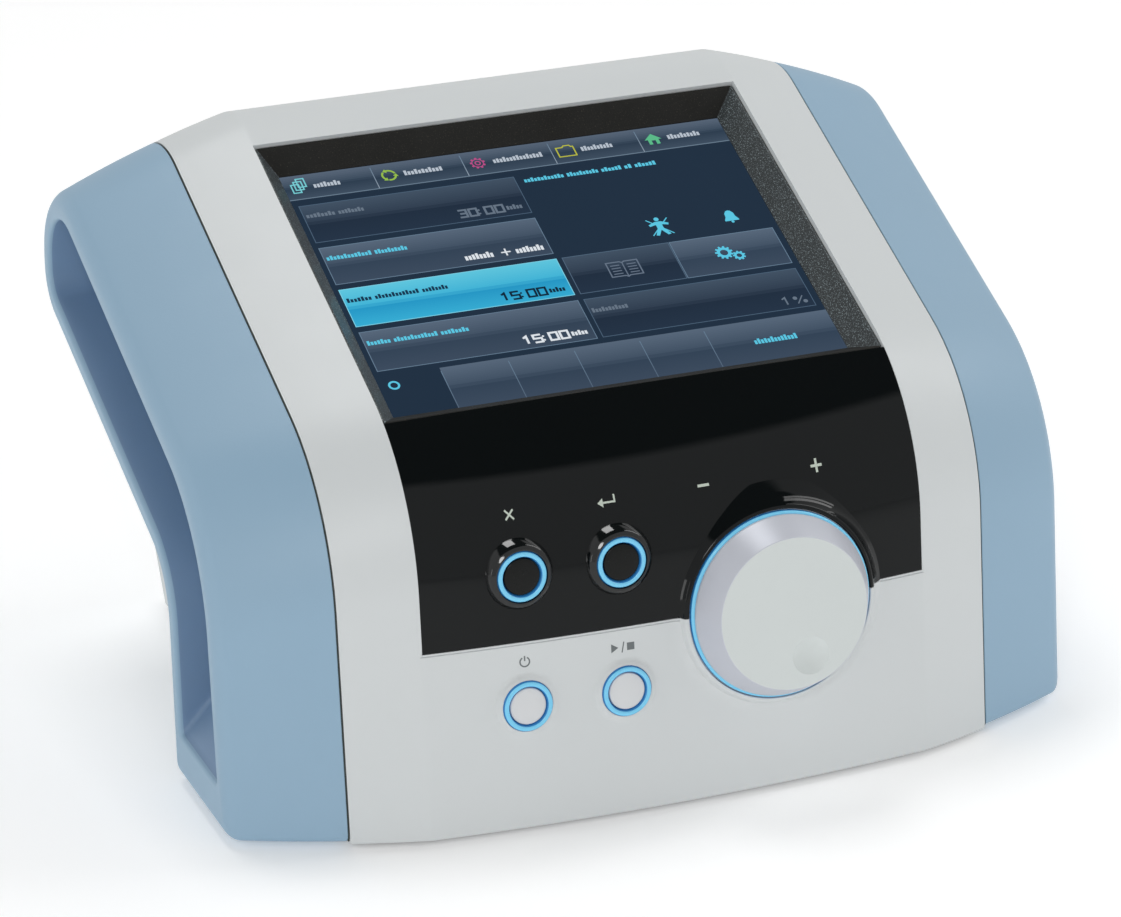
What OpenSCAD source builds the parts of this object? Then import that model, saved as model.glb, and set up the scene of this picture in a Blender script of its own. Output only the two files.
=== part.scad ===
// Desktop ultrasound therapy device: a sloping screen desk above a steep control face,
// two swept side covers with grip pockets, and the electronics that the case holds.
// Millimetres. X runs across the device, Y from its front to its back, Z up.

/* [Case] */
// Overall width across the two side covers
case_w = 320; // [312:2:330]
// Half width of the flat middle, where the wings start
flat_half = 94; // [93:0.5:96]
// Distance from the middle plane to the seam between front cover and side cover
seam_x = 121.2; // [120:0.2:124]
// Slope of the screen desk, degrees from level
desk_angle = 21.6; // [20:0.2:23]
// Slope of the control face, degrees from level
face_angle = 83; // [81:0.5:85]
// Radius of the bend between control face and screen desk
knee_r = 70; // [60:1:74]
// How far the wings fall behind the flat middle at the outer side
wing_drop = 24.7; // [20:0.1:28]
// How fast the wings fall away where they start
wing_slope = 0.255; // [0.2:0.005:0.3]
// How far the foot of the control face bows forward in the middle
crown = 4.8; // [3:0.1:6]
// Wall thickness of the moulded covers
wall = 3; // [2.5:0.1:3.2]
// Height of the rubber feet
foot_h = 3; // [2.5:0.5:4]

/* [Screen] */
// Visible width of the touch screen
screen_w = 171.6; // [168:0.2:172]
// Visible height of the touch screen
screen_h = 127.7; // [125:0.1:128.5]
// Depth of the glass below the screen desk
screen_depth = 9.1; // [8:0.1:10]

/* [Controls] */
// Distance of the knob axis from the middle plane
knob_x = 36; // [34:0.5:38]
// Height of the knob axis at the control face
knob_z = 66.7; // [65:0.1:68]
// Outer radius of the light ring under the knob
knob_ring_r = 34.2; // [32:0.1:34.5]
// Radius of the knob's flat face
knob_face_r = 27.5; // [25:0.5:28]
// Positions of the two button columns from the middle plane
button_x = [-58, -22];
// Heights of the lower and the upper button row
button_z = [44.3, 90.8];
// Outer radius of a button's light ring
ring_r = 9.15; // [8.6:0.05:9.3]
// Radius of a button cap
cap_r = 6.6; // [6.2:0.05:6.65]
// Button travel
button_travel = 1; // [0.6:0.1:1.2]

/* [Hidden] */
$fn = 64;

// colours
white = "#cdd2d3";
blue = "#8fb0c8";
gloss_black = "#1b1c1e";
matte_black = "#2c2d29";
light_blue = "#46b4e6";
steel = "#b5b8bb";
board_green = "#2d6b45";
dark_grey = "#3a3d40";

// construction of the case, in the Y-Z plane
half_w = case_w / 2;
desk_y = 155;             // a point of the desk line in the flat middle
desk_z = 193;
face_y = -24.6;           // foot of the control face where the wings start
rear_y = 207;             // back of the head at the seam
rear_y_side = 205;        // back of the head at the outer side
roll_r = 33;              // radius over the top edge at the seam
roll_r_side = 30;
split_z = 150;            // joint between front cover and rear cover, at the back
panel_z = 67;             // joint between glossy panel and front cover
gap = 0.4;                // clearance between covers
side_in = seam_x + 0.3;   // inner plane of a side cover
cover_half = seam_x - 0.3;

// side cover: the band's lower line, its leg and its edges
under_y = 79.8;           // a point of the band's lower line
under_z = 79.1;
under_angle = 20.8;
leg_y = 59.4;             // back of the leg at its foot
leg_angle = 86;
under_tip_r = 20;
under_knee_r = 25;
edge_r = 4.5;
pocket_rim = 8.6;
pocket_depth = 26;
pocket_floor = 17;

// screen desk frame: origin on the desk surface over the middle of the screen
desk_mid = [88.2, 166.4];
aperture_top = 72.1;
aperture_low = 74;
aperture_half = flat_half - 0.1;

// wing offset at the distance u outside the flat middle
wing_w = half_w - flat_half;
function wing(u) = wing_slope * u + (wing_drop - wing_slope * wing_w) * pow(u / wing_w, 2);
function drop(x) = abs(x) > flat_half ? wing(abs(x) - flat_half) : 0;
function back(x) = abs(x) > flat_half ? wing(abs(x) - flat_half)
    : -crown * (1 - pow(x / flat_half, 2));
// how far a station is between the seam and the outer side, 0 to 1
function outward(x) = max(0, (abs(x) - seam_x) / (half_w - seam_x));
function rear_at(x) = rear_y + (rear_y_side - rear_y) * outward(x);
function roll_at(x) = roll_r + (roll_r_side - roll_r) * outward(x);
function face_at(x, z) = face_y + back(x) + z / tan(face_angle);

function dir(a) = [cos(a), sin(a)];
function inward(a) = [sin(a), -cos(a)];
function cross2(a, b) = a[0] * b[1] - a[1] * b[0];
// where the line through p at angle a meets the line through q at angle b
function meet(p, a, q, b) = p + dir(a) * cross2(q - p, dir(b)) / cross2(dir(a), dir(b));
// points of the arc of radius r that rounds corner b of the path a-b-c
function corner_arc(a, b, c, r, n) =
    let (u = (b - a) / norm(b - a), v = (c - b) / norm(c - b),
         turn = atan2(cross2(u, v), u * v), start = b - u * abs(r * tan(turn / 2)),
         centre = start + sign(turn) * r * [-u[1], u[0]], q = start - centre)
    [for (k = [0:n]) let (g = turn * k / n)
        centre + [q[0] * cos(g) - q[1] * sin(g), q[0] * sin(g) + q[1] * cos(g)]];

// the lines of the case at station x, moved inward by d
function face_line(x, d) = [face_y + back(x), 0] + d * inward(face_angle);
function desk_line(x, d) = [desk_y, desk_z - drop(x)] + d * inward(desk_angle);

// skin of the front cover at station x: up the face, over the knee, along the desk,
// over the top edge and down the back as far as z_end
function skin_profile(x, d, z_foot, z_end) =
    let (foot = meet(face_line(x, d), face_angle, [0, z_foot], 0),
         knee = meet(face_line(x, d), face_angle, desk_line(x, d), desk_angle),
         top = meet(desk_line(x, d), desk_angle, [rear_at(x) - d, 0], 90),
         end = [rear_at(x) - d, z_end])
    concat([foot], corner_arc(foot, knee, top, knee_r - d, 12),
        corner_arc(knee, top, end, roll_at(x) - d, 9), [end]);

// steps in the four arcs of a side cover's outline
knee_n = 9;
roll_n = 7;
tip_n = 5;
crook_n = 5;
// outline of a side cover's band at station x, moved inward by d
function band_profile(x, d, z_foot) =
    let (foot = meet(face_line(x, d), face_angle, [0, z_foot], 0),
         knee = meet(face_line(x, d), face_angle, desk_line(x, d), desk_angle),
         top = meet(desk_line(x, d), desk_angle, [rear_at(x) - d, 0], 90),
         under = [under_y, under_z] - d * inward(under_angle),
         tip = meet(under, under_angle, [rear_at(x) - d, 0], 90),
         leg = [leg_y, 0] - d * inward(leg_angle),
         crook = meet(under, under_angle, leg, leg_angle),
         heel = meet(leg, leg_angle, [0, z_foot], 0))
    concat([foot], corner_arc(foot, knee, top, knee_r - d, knee_n),
        corner_arc(knee, top, tip, roll_at(x) - d, roll_n),
        corner_arc(top, tip, crook, under_tip_r - d, tip_n),
        corner_arc(tip, crook, heel, under_knee_r + d, crook_n), [heel]);

// cap of that outline: each point of its outer line is joined to the point of its inner
// line beside it, from the foot, over the knee, to the top
outer_n = knee_n + roll_n + 3;
band_n = outer_n + tip_n + crook_n + 3;
function beside(i) = band_n - 1 - (i == 0 ? 0
    : i <= knee_n + 1 ? 1 + round((i - 1) * crook_n / knee_n)
    : crook_n + 2 + round((i - knee_n - 2) * tip_n / roll_n));
band_cap = [for (i = [0:outer_n - 2]) let (a = beside(i), b = beside(i + 1))
    each a == b ? [[i, i + 1, a]] : [[i, i + 1, a], [i + 1, b, a]]];
// the same cap on the outline's points in reverse order
reversed_band_cap = [for (t = band_cap) [for (i = reversed(t)) band_n - 1 - i]];

// a closed surface through a list of rings with the same number of points; cap divides
// a ring into triangles that run the same way as the ring
module loft(rings, cap) {
    n = len(rings[0]);
    m = len(rings);
    points = [for (r = rings) each r];
    sides = [for (j = [0:m - 2], i = [0:n - 1]) let (k = (i + 1) % n, a = j * n, b = a + n)
        each [[a + i, a + k, b + k], [a + i, b + k, b + i]]];
    polyhedron(points, concat([for (t = cap) reversed(t)], sides,
        [for (t = cap) [for (i = t) (m - 1) * n + i]]));
}
// cap of a ring of n points made of an outer line and the inner line that runs back beside it
function strip_cap(n) = [for (i = [0:n / 2 - 2])
    each [[i, i + 1, n - 1 - i], [i + 1, n - 2 - i, n - 1 - i]]];
// cap of a convex ring
function fan_cap(n) = [for (i = [1:n - 2]) [0, i, i + 1]];

function at_x(x, outline) = [for (p = outline) [x, p[0], p[1]]];
function reversed(list) = [for (i = [len(list) - 1:-1:0]) list[i]];

// the whole device stands with its middle over the origin and its feet on z = 0
knob_face_h = 15.6;
front_reach = face_at(knob_x, knob_z) - knob_face_h * sin(face_angle)
    - knob_face_r * cos(face_angle);
earth_pin_l = 9;
rear_reach = rear_y + earth_pin_l;
mid_y = (front_reach + rear_reach) / 2;
module placed() { translate([0, -mid_y, foot_h]) children(); }

// frames of the control face and of the screen desk; z points out of the surface
module on_face(x, z) { translate([x, face_at(x, z), z]) rotate([face_angle, 0, 0]) children(); }
module on_desk() {
    translate([0, desk_mid[0], desk_mid[1]]) rotate([desk_angle, 0, 0]) children();
}
// an outline in the Y-Z plane, extruded along X from x0 to x1
module across(x0, x1) {
    translate([x0, 0, 0]) rotate([90, 0, 90]) linear_extrude(x1 - x0) children();
}
// repeats its children once for each side
module both_sides() {
    children();
    mirror([1, 0, 0]) children();
}

// ---------------------------------------------------------------- covers

// stations across the front cover, closer together where the wings start
function stations(h) = let (w = h - flat_half) concat(
    [for (k = [0:3]) -h + w * k / 4],
    [for (k = [-4:4]) flat_half * k / 4], [for (k = [1:4]) flat_half + w * k / 4]);

module front_skin() {
    rings = [for (x = stations(cover_half)) at_x(x, concat(
        skin_profile(x, 0, 0, split_z), reversed(skin_profile(x, wall, 0, split_z))))];
    loft(rings, strip_cap(len(rings[0])));
}

// the part of the skin that the panel and the screen take
module panel_zone(shrink) {
    top = [desk_mid[0] + (aperture_top - shrink) * cos(desk_angle),
        desk_mid[1] + (aperture_top - shrink) * sin(desk_angle)];
    out = 20 * [-sin(desk_angle), cos(desk_angle)];
    across(-aperture_half + shrink, aperture_half - shrink)
        polygon([[-60, panel_z + shrink], [25, panel_z + shrink], top - out, top + out, [-60, 230]]);
}
module screen_zone(shrink) {
    on_desk() translate([-aperture_half + shrink, -aperture_low + shrink, -30])
        cube([2 * (aperture_half - shrink), aperture_top + aperture_low - 2 * shrink, 60]);
}

// raised collar that carries the knob's light ring; its foot flares into the face
collar_h = 3.4;
collar_foot_r = 41;
module knob_collar() {
    on_face(knob_x, knob_z) {
        translate([0, 0, -4]) cylinder(h = 4 + collar_h, r1 = collar_foot_r, r2 = knob_ring_r + 0.8);
    }
}
// bores for the light ring, the encoder bush and the collar's inside
module knob_bores() {
    on_face(knob_x, knob_z) {
        translate([0, 0, -40]) cylinder(h = 40 - wall, r = collar_foot_r - wall);
        translate([0, 0, -10]) cylinder(h = 30, r = 5);
        translate([0, 0, collar_h - 1.2]) cylinder(h = 10, r = knob_ring_r + 0.1);
    }
}
ring_front = 2.2;
module button_boss(x, z, foot, top, h) {
    on_face(x, z) translate([0, 0, -3.5]) cylinder(h = 3.5 + h, r1 = foot, r2 = top);
}
module button_bore(x, z) {
    on_face(x, z) {
        translate([0, 0, -30]) cylinder(h = 50, r = ring_r + 0.1);
        translate([0, 0, -30]) cylinder(h = 30 - 3.5, r = 11);
    }
}

module front_cover() color(white) placed() difference() {
    union() {
        difference() {
            front_skin();
            panel_zone(0);
        }
        difference() {
            knob_collar();
            translate([-half_w, -80, panel_z]) cube([case_w, 160, 100]);
        }
        for (x = button_x) button_boss(x, button_z[0], 11, 9.9, 1.2);
        // bosses behind the face that take the keypad board's screws
        for (x = [-84, 84]) on_face(x, 24) translate([0, 0, -13]) cylinder(h = 11.5, r = 3);
    }
    knob_bores();
    for (x = button_x) button_bore(x, button_z[0]);
    for (x = [-84, 84]) on_face(x, 24) translate([0, 0, -14]) cylinder(h = 9, r = 1.2);
}

module control_panel() color(gloss_black) placed() difference() {
    union() {
        intersection() {
            front_skin();
            difference() {
                panel_zone(0.15);
                screen_zone(-0.15);
            }
        }
        intersection() {
            knob_collar();
            translate([-half_w, -80, panel_z + 0.15]) cube([case_w, 160, 100]);
        }
        for (x = button_x) button_boss(x, button_z[1], 13.6, 10, 1.6);
        for (x = [-84, 84]) on_face(x, 84) translate([0, 0, -13]) cylinder(h = 11.5, r = 3);
    }
    knob_bores();
    for (x = button_x) button_bore(x, button_z[1]);
    for (x = [-84, 84]) on_face(x, 84) translate([0, 0, -14]) cylinder(h = 9, r = 1.2);
}

// outline of the middle of the case behind the front skin
heel_y = 193;
heel_z = 24;
body_d = wall + gap;
side_plate_in = cover_half - wall;
function body_outline(d) = concat(
    skin_profile(cover_half, body_d + d, d, split_z - gap),
    [[rear_y - d, split_z - gap], [rear_y - d, heel_z], [heel_y - d, d]]);

vent_x = -62;
fan_x = 62;
fan_z = 104;
fan_size = 60;
inlet_x = 74;
inlet_z = 42;
socket_xs = [-92, -56];
socket_z = 42;
socket_hole = 10.4;       // half height of the window behind the sockets' plate
socket_margin = 14;       // from a socket's middle to the edge of the plate
earth_x = 34;

module rear_cover() color(white) placed() difference() {
    union() {
        both_sides() across(side_plate_in, cover_half) polygon(body_outline(0));
        across(-cover_half + 1, cover_half - 1) polygon([
            [rear_y - wall, split_z - gap], [rear_y - wall, heel_z + 1], [heel_y - wall, 0],
            [heel_y, 0], [rear_y, heel_z], [rear_y, split_z - gap]]);
    }
    // cooling slots
    for (k = [-5:5]) translate([vent_x + 7 * k - 1.5, rear_y - 10, 84]) cube([3, 20, 44]);
    // fan opening, mains inlet, sockets, earth pin
    translate([fan_x, rear_y + 10, fan_z]) rotate([90, 0, 0]) cylinder(h = 20, r = 28);
    translate([inlet_x - 24, rear_y - 10, inlet_z - 14]) cube([56, 20, 28]);
    translate([socket_xs[0] - socket_hole, rear_y - 10, socket_z - socket_hole])
        cube([socket_xs[1] - socket_xs[0] + 2 * socket_hole, 20, 2 * socket_hole]);
    translate([earth_x, rear_y + 10, inlet_z]) rotate([90, 0, 0]) cylinder(h = 20, r = 3.1);
    // screw holes into the side covers and the base
    both_sides() for (p = side_screws)
        translate([side_plate_in - 1, p[0], p[1]]) rotate([0, 90, 0]) cylinder(h = 6, r = 1.7);
}

side_screws = [[150, 150], [42, 112], [30, 40]];
pocket_lip = 1.2;
// how much the pocket's lower end rises from the rim to the pocket's bottom
pocket_rise = 0.9 * pocket_depth;
// grip pocket outline: the band's outline moved inward by the rim, with its own floor
function pocket_outline(d) = band_profile(half_w, pocket_rim - d, pocket_floor - d);
pocket_bottom = band_profile(half_w, pocket_rim, pocket_floor + pocket_rise);

// the side cover's outside: from the pocket's bottom over its rim and back to the seam
module side_solid() {
    xs = [half_w - edge_r, 150, 144, 136, 128, side_in];
    rounding = [for (a = [90:-30:30]) [half_w - edge_r + edge_r * sin(a), edge_r * (1 - cos(a))]];
    loft(concat(
        [at_x(half_w - pocket_depth, reversed(pocket_bottom)),
            at_x(half_w - pocket_lip, reversed(pocket_outline(0))),
            at_x(half_w, reversed(pocket_outline(pocket_lip)))],
        [for (r = rounding) at_x(r[0], reversed(band_profile(r[0], r[1], r[1])))],
        [for (x = xs) at_x(x, reversed(band_profile(x, 0, 0)))]), reversed_band_cap);
}

module side_cover() color(blue) placed() difference() {
    side_solid();
    // hollow between the pocket's bottom and the seam, with bosses for the screws
    across(side_in - 2, half_w - pocket_depth - 2.6) difference() {
        polygon(band_profile(half_w, wall, wall));
        for (p = side_screws) translate(p) circle(r = 4);
    }
    for (p = side_screws) translate([side_in - 5, p[0], p[1]]) rotate([0, 90, 0])
        cylinder(h = 14, r = 1.3);
}
module right_side_cover() { side_cover(); }
module left_side_cover() { mirror([1, 0, 0]) side_cover(); }

// dark seal in the seam, set back from the surface
module gasket() color(dark_grey) placed() across(cover_half + 0.05, side_in - 0.05) difference() {
    polygon(band_profile(seam_x, 0.6, 0.6));
    polygon(band_profile(seam_x, 4, 4));
}
module right_gasket() { gasket(); }
module left_gasket() { mirror([1, 0, 0]) gasket(); }

// ---------------------------------------------------------------- base

screw_r = 1.25;
front_inside = wall / sin(face_angle) + gap;
feet = [[-104, -6], [104, -6], [-104, 180], [104, 180]];
speaker_at = [-60, 26];
board_posts = [[-104, 78], [-18, 78], [-104, 172], [-18, 172]];
supply_x = [12, 108];
supply_y = [82, 168];
supply_z = [6, 40];

module base_plate() color(dark_grey) placed() difference() {
    half = side_plate_in - gap;
    union() {
        translate([0, 0, 0.5]) linear_extrude(2) polygon(concat(
            [for (k = [-12:12]) let (x = half * k / 12) [x, face_at(x, 0.5) + front_inside]],
            [[half, heel_y - wall - gap], [-half, heel_y - wall - gap]]));
        // stand-offs for the power supply
        for (x = [supply_x[0] + 8, supply_x[1] - 8], y = [supply_y[0] + 8, supply_y[1] - 8])
            translate([x, y, 2]) cylinder(h = supply_z[0] - 2.1, r = 4);
    }
    for (p = feet) translate([p[0], p[1], -1]) cylinder(h = 6, r = 2.6);
    // sound holes under the speaker
    for (k = [0:5]) translate([speaker_at[0] + 10 * cos(60 * k), speaker_at[1] + 10 * sin(60 * k), -1])
        cylinder(h = 6, r = 1.6);
    translate([speaker_at[0], speaker_at[1], -1]) cylinder(h = 6, r = 1.6);
    // air slots
    for (k = [0:6]) translate([-20 + 6 * k, 20, -1]) cube([2.4, 36, 6]);
}

module rubber_feet() color(matte_black) placed() for (p = feet) translate([p[0], p[1], 0]) {
    translate([0, 0, -foot_h]) cylinder(h = 1, r1 = 8.2, r2 = 9);
    translate([0, 0, -foot_h + 1]) cylinder(h = foot_h - 0.6, r = 9);
    translate([0, 0, 0]) cylinder(h = 3.4, r = 2.5);
}

// ---------------------------------------------------------------- screen

rim_w = -1.2;        // upper rim of the bezel, from the desk surface
lip = 0.5;           // thickness of the bezel over the glass
glass_w = -screen_depth - lip - 0.1;
glass_t = 1.8;
lcd_w = glass_w - glass_t - 0.2;
lcd_t = 7.6;
bracket_w = lcd_w - lcd_t - 0.3;
bracket_t = 1.5;
main_w = bracket_w - bracket_t - 9.4;
posts_x = 96.8;
posts_y = [-60, 60];
flange_w = -7.4;

function rectangle(x0, x1, y0, y1, z) = [[x0, y0, z], [x0, y1, z], [x1, y1, z], [x1, y0, z]];

module display_bezel() color(matte_black) placed() on_desk() difference() {
    union() {
        translate([-93.5, -73.7, -screen_depth - lip])
            cube([187, aperture_top - 0.4 + 73.7, screen_depth + lip + rim_w]);
        translate([-96, -76.5, flange_w]) cube([192, 151.5, 2.2]);
        translate([-100, -66, flange_w]) cube([200, 132, 2.2]);
    }
    loft([
        rectangle(-screen_w / 2, screen_w / 2, -screen_h / 2, screen_h / 2, -screen_depth - lip - 1),
        rectangle(-screen_w / 2, screen_w / 2, -screen_h / 2, screen_h / 2, -screen_depth),
        rectangle(-92.7, 92.7, -72.9, aperture_top - 1.2, rim_w),
        rectangle(-92.7, 92.7, -72.9, aperture_top - 1.2, rim_w + 1)
    ], fan_cap(4));
    for (x = [-posts_x, posts_x], y = posts_y) translate([x, y, -12]) cylinder(h = 12, r = 1.5);
}

module touch_glass() color(gloss_black) placed() on_desk()
    translate([-92, -70, glass_w - glass_t]) cube([184, 140, glass_t]);

module lcd_module() color(steel) placed() on_desk() translate([-91, -69, lcd_w - lcd_t]) difference() {
    cube([182, 138, lcd_t]);
    // stepped back of the backlight tray
    translate([-1, -1, -1]) cube([8, 140, 3]);
    translate([175, -1, -1]) cube([8, 140, 3]);
}

module lcd_bracket() color(steel) placed() on_desk() difference() {
    union() {
        translate([-100, -70, bracket_w - bracket_t]) cube([200, 140, bracket_t]);
        for (x = [-posts_x, posts_x], y = posts_y)
            translate([x, y, bracket_w - 0.1]) cylinder(h = flange_w - 0.3 - bracket_w + 0.1, r = 2.8);
    }
    translate([-55, -40, bracket_w - 5]) cube([110, 76, 10]);
    for (x = [-posts_x, posts_x], y = posts_y)
        translate([x, y, bracket_w - 4]) cylinder(h = 20, r = screw_r + 0.05);
    for (x = [-70, 70], y = [-45, 55]) translate([x, y, bracket_w - 5]) cylinder(h = 10, r = 1.5);
}

module main_board() color(board_green) placed() on_desk() difference() {
    union() {
        translate([-80, -52, main_w - 1.6]) cube([160, 114, 1.6]);
        // processor, memory and connectors on the lower face
        translate([-14, -10, main_w - 4.5]) cube([28, 28, 3]);
        translate([24, -6, main_w - 3.4]) cube([18, 9, 2]);
        translate([24, 8, main_w - 3.4]) cube([18, 9, 2]);
        translate([-60, -48, main_w - 9]) cube([34, 8, 7.5]);
        translate([50, 40, main_w - 9]) cube([24, 10, 7.5]);
        for (x = [-58, -44]) translate([x, 30, main_w - 11]) cylinder(h = 10, r = 5);
    }
    for (x = [-70, 70], y = [-45, 55]) translate([x, y, main_w - 5]) cylinder(h = 10, r = 1.5);
}

// ---------------------------------------------------------------- controls

// board frame: on the face plane at x = 84, middle height between the board's screws
board_front = -13.1;
module on_keypad() { translate([0, face_at(84, 54), 54]) rotate([face_angle, 0, 0]) children(); }
keypad_screws = [for (x = [-84, 84], z = [24, 84]) [x, (z - 54) / sin(face_angle)]];
// distance of the keypad board's front from the face at station x
function board_h(x) = board_front - (back(84) - back(x)) * sin(face_angle);

module keypad_board() color(board_green) placed() on_keypad() difference() {
    union() {
        translate([-89, -38, board_front - 1.6]) cube([178, 78, 1.6]);
        translate([-70, -30, board_front - 8]) cube([28, 7, 6.5]);
        translate([-10, -8, board_front - 3.6]) cube([14, 14, 2.1]);
    }
    for (p = keypad_screws) translate([p[0], p[1], board_front - 5]) cylinder(h = 10, r = 1.5);
}

cap_flange_h = -5.8;
stem_end = -9;
module button(x, z) placed() on_face(x, z) difference() {
    union() {
        translate([0, 0, cap_flange_h - 0.1]) cylinder(h = 7.4 - cap_flange_h + 0.1 - 6, r = cap_r);
        translate([0, 0, 1.4]) cylinder(h = 0.5, r1 = cap_r, r2 = cap_r - 0.5);
        translate([0, 0, cap_flange_h - 1.6]) cylinder(h = 1.6, r = 8.4);
        translate([0, 0, stem_end]) cylinder(h = 4, r = 2);
    }
    translate([0, 0, cap_flange_h - 3]) difference() {
        cylinder(h = 7.4, r = 5.2);
        translate([0, 0, -2]) cylinder(h = 12, r = 2);
    }
}
module esc_button() color(gloss_black) button(button_x[0], button_z[1]);
module enter_button() color(gloss_black) button(button_x[1], button_z[1]);
module power_button() color(white) button(button_x[0], button_z[0]);
module start_button() color(white) button(button_x[1], button_z[0]);

module button_rings() color(light_blue) placed() for (x = button_x, z = button_z)
    on_face(x, z) rotate_extrude() polygon([
        [6.95, -5.4], [10.6, -5.4], [10.6, -3.9], [ring_r, -3.9], [ring_r, 1.5], [ring_r - 0.35, 2],
        [ring_r - 0.8, ring_front], [7.6, ring_front], [7.1, 1.9], [6.95, 1.5]]);

module tact_switches() color(matte_black) placed() for (x = button_x, z = button_z)
    on_face(x, z) {
        translate([-3, -3, board_h(x) + 0.1]) cube([6, 6, 3.5]);
        translate([0, 0, board_h(x) + 3])
            cylinder(h = stem_end - button_travel - 0.4 - board_h(x) - 3, r = 1.7);
    }

knob_base_h = 4.9;
module knob() color(white) placed() on_face(knob_x, knob_z) difference() {
    rotate_extrude($fn = 96) polygon([
        [32.8, knob_base_h], [32.7, 5.7], [knob_face_r + 0.75, 14.9], [knob_face_r, knob_face_h],
        [0, knob_face_h], [0, 13.2], [3.02, 13.2], [3.02, 5], [5.4, 5], [5.4, 13.2],
        [25.6, 13.2], [30.4, knob_base_h]]);
    translate([5.6, -16.2, knob_face_h + 12.2]) sphere(r = 14, $fn = 96);
}
module knob_ring() color(light_blue) placed() on_face(knob_x, knob_z)
    rotate_extrude($fn = 96) polygon([
        [29.6, 2.3], [knob_ring_r, 2.3], [knob_ring_r, 4.1], [knob_ring_r - 0.4, 4.5], [29.6, 4.5]]);

shaft_r = 3;
module encoder_body() color(steel) placed() on_face(knob_x, knob_z) difference() {
    union() {
        translate([-7, -7, board_h(knob_x) + 0.1]) cube([14, 14, 7]);
        translate([0, 0, board_h(knob_x) + 6]) cylinder(h = 4 - board_h(knob_x) - 6, r = 4.4);
    }
    translate([0, 0, -9.4]) cylinder(h = 20, r = shaft_r + 0.05);
}
module encoder_shaft() color(steel) placed() on_face(knob_x, knob_z)
    translate([0, 0, -9]) cylinder(h = 22, r = shaft_r);

module speaker() color(matte_black) placed() translate([speaker_at[0], speaker_at[1], 2.8])
    rotate_extrude() polygon([[0, 3], [6, 1.2], [16, 3.5], [17, 0], [20, 0], [20, 2.4], [14, 6], [11, 6],
        [11, 12], [0, 12]]);

// ---------------------------------------------------------------- electronics

module power_supply() color(steel) placed() {
    w = supply_x[1] - supply_x[0];
    l = supply_y[1] - supply_y[0];
    h = supply_z[1] - supply_z[0];
    translate([supply_x[0], supply_y[0], supply_z[0]]) difference() {
        cube([w, l, h]);
        translate([1.2, 1.2, 1.2]) cube([w - 2.4, l - 2.4, h - 2.4]);
        for (i = [0:9]) translate([9 + 8 * i, 14, h - 5]) cube([4, 58, 10]);
    }
    // board, transformer and capacitors inside the cage
    translate([supply_x[0] + 3, supply_y[0] + 3, supply_z[0] + 1]) cube([w - 6, l - 6, 2]);
    translate([supply_x[0] + 34, supply_y[0] + 26, supply_z[0] + 2]) cube([32, 30, 24]);
    for (y = [20, 62]) translate([supply_x[0] + 18, supply_y[0] + y, supply_z[0] + 2])
        cylinder(h = 24, r = 9);
}

module generator_board() color(board_green) placed() difference() {
    union() {
        translate([-112, 70, 12]) cube([102, 110, 1.6]);
        translate([-40, 84, 13]) cube([24, 30, 16]);
        for (y = [130, 146]) translate([-30, y, 13]) cylinder(h = 14, r = 6);
        translate([-100, 168, 13]) cube([52, 9, 9]);
    }
    for (p = board_posts) translate([p[0], p[1], 5]) cylinder(h = 20, r = 1.5);
}
module heat_sink() color(steel) placed() translate([-100, 88, 13.8]) {
    cube([50, 68, 4]);
    for (k = [0:8]) translate([6 * k, 0, 3]) cube([2, 68, 24]);
}
module board_spacers() color(steel) placed() {
    for (p = board_posts) translate([p[0], p[1], 2.7]) difference() {
        cylinder(h = 9.1, r = 3);
        translate([0, 0, -1]) cylinder(h = 12, r = 1.3);
    }
    on_desk() for (x = [-70, 70], y = [-45, 55]) translate([x, y, main_w + 0.2]) difference() {
        cylinder(h = 9, r = 3);
        translate([0, 0, -1]) cylinder(h = 12, r = 1.3);
    }
}

// ---------------------------------------------------------------- rear fittings

// frame on the back wall's outside; z points out of the back, y up
module on_back(x, z) { translate([x, rear_y, z]) rotate([90, 0, 180]) children(); }
fan_back = -18.5;
module fan_frame() color(matte_black) placed() on_back(fan_x, fan_z) {
    difference() {
        translate([-fan_size / 2, -fan_size / 2, fan_back]) cube([fan_size, fan_size, 15]);
        translate([0, 0, fan_back - 1]) cylinder(h = 20, r = 28);
        for (x = [-25, 25], y = [-25, 25]) translate([x, y, fan_back - 1]) cylinder(h = 20, r = 2);
    }
    difference() {
        union() {
            for (a = [45, 135]) rotate([0, 0, a]) translate([-28.5, -2, fan_back]) cube([57, 4, 2.2]);
            translate([0, 0, fan_back]) cylinder(h = 4, r = 12);
        }
        translate([0, 0, fan_back + 1]) cylinder(h = 10, r = 1.6);
    }
}
module fan_rotor() color(dark_grey) placed() on_back(fan_x, fan_z) {
    translate([0, 0, fan_back + 4.6]) cylinder(h = 9.2, r = 13);
    translate([0, 0, fan_back + 1.4]) cylinder(h = 4, r = 1.5);
    intersection() {
        for (k = [0:6]) rotate([0, 0, 360 / 7 * k]) translate([11, 0, fan_back + 9.2])
            rotate([38, 0, 0]) translate([0, -6.2, -0.7]) cube([20, 12.4, 1.4]);
        translate([0, 0, fan_back + 4.8]) cylinder(h = 8.8, r = 27);
    }
}
module fan_guard() color(steel) placed() on_back(fan_x, fan_z) {
    for (r = [9, 15.5, 22, 28.5]) translate([0, 0, 1.3]) rotate_extrude()
        translate([r, 0]) circle(r = 0.8, $fn = 16);
    for (a = [0:90:270]) rotate([0, 0, a + 45]) translate([8.6, 0, 2.2]) rotate([0, 90, 0])
        cylinder(h = 26, r = 0.8, $fn = 20);
    for (x = [-25, 25], y = [-25, 25]) translate([x, y, 0.4]) difference() {
        cylinder(h = 2, r = 3.6);
        translate([0, 0, -1]) cylinder(h = 4, r = 2);
    }
}

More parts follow.
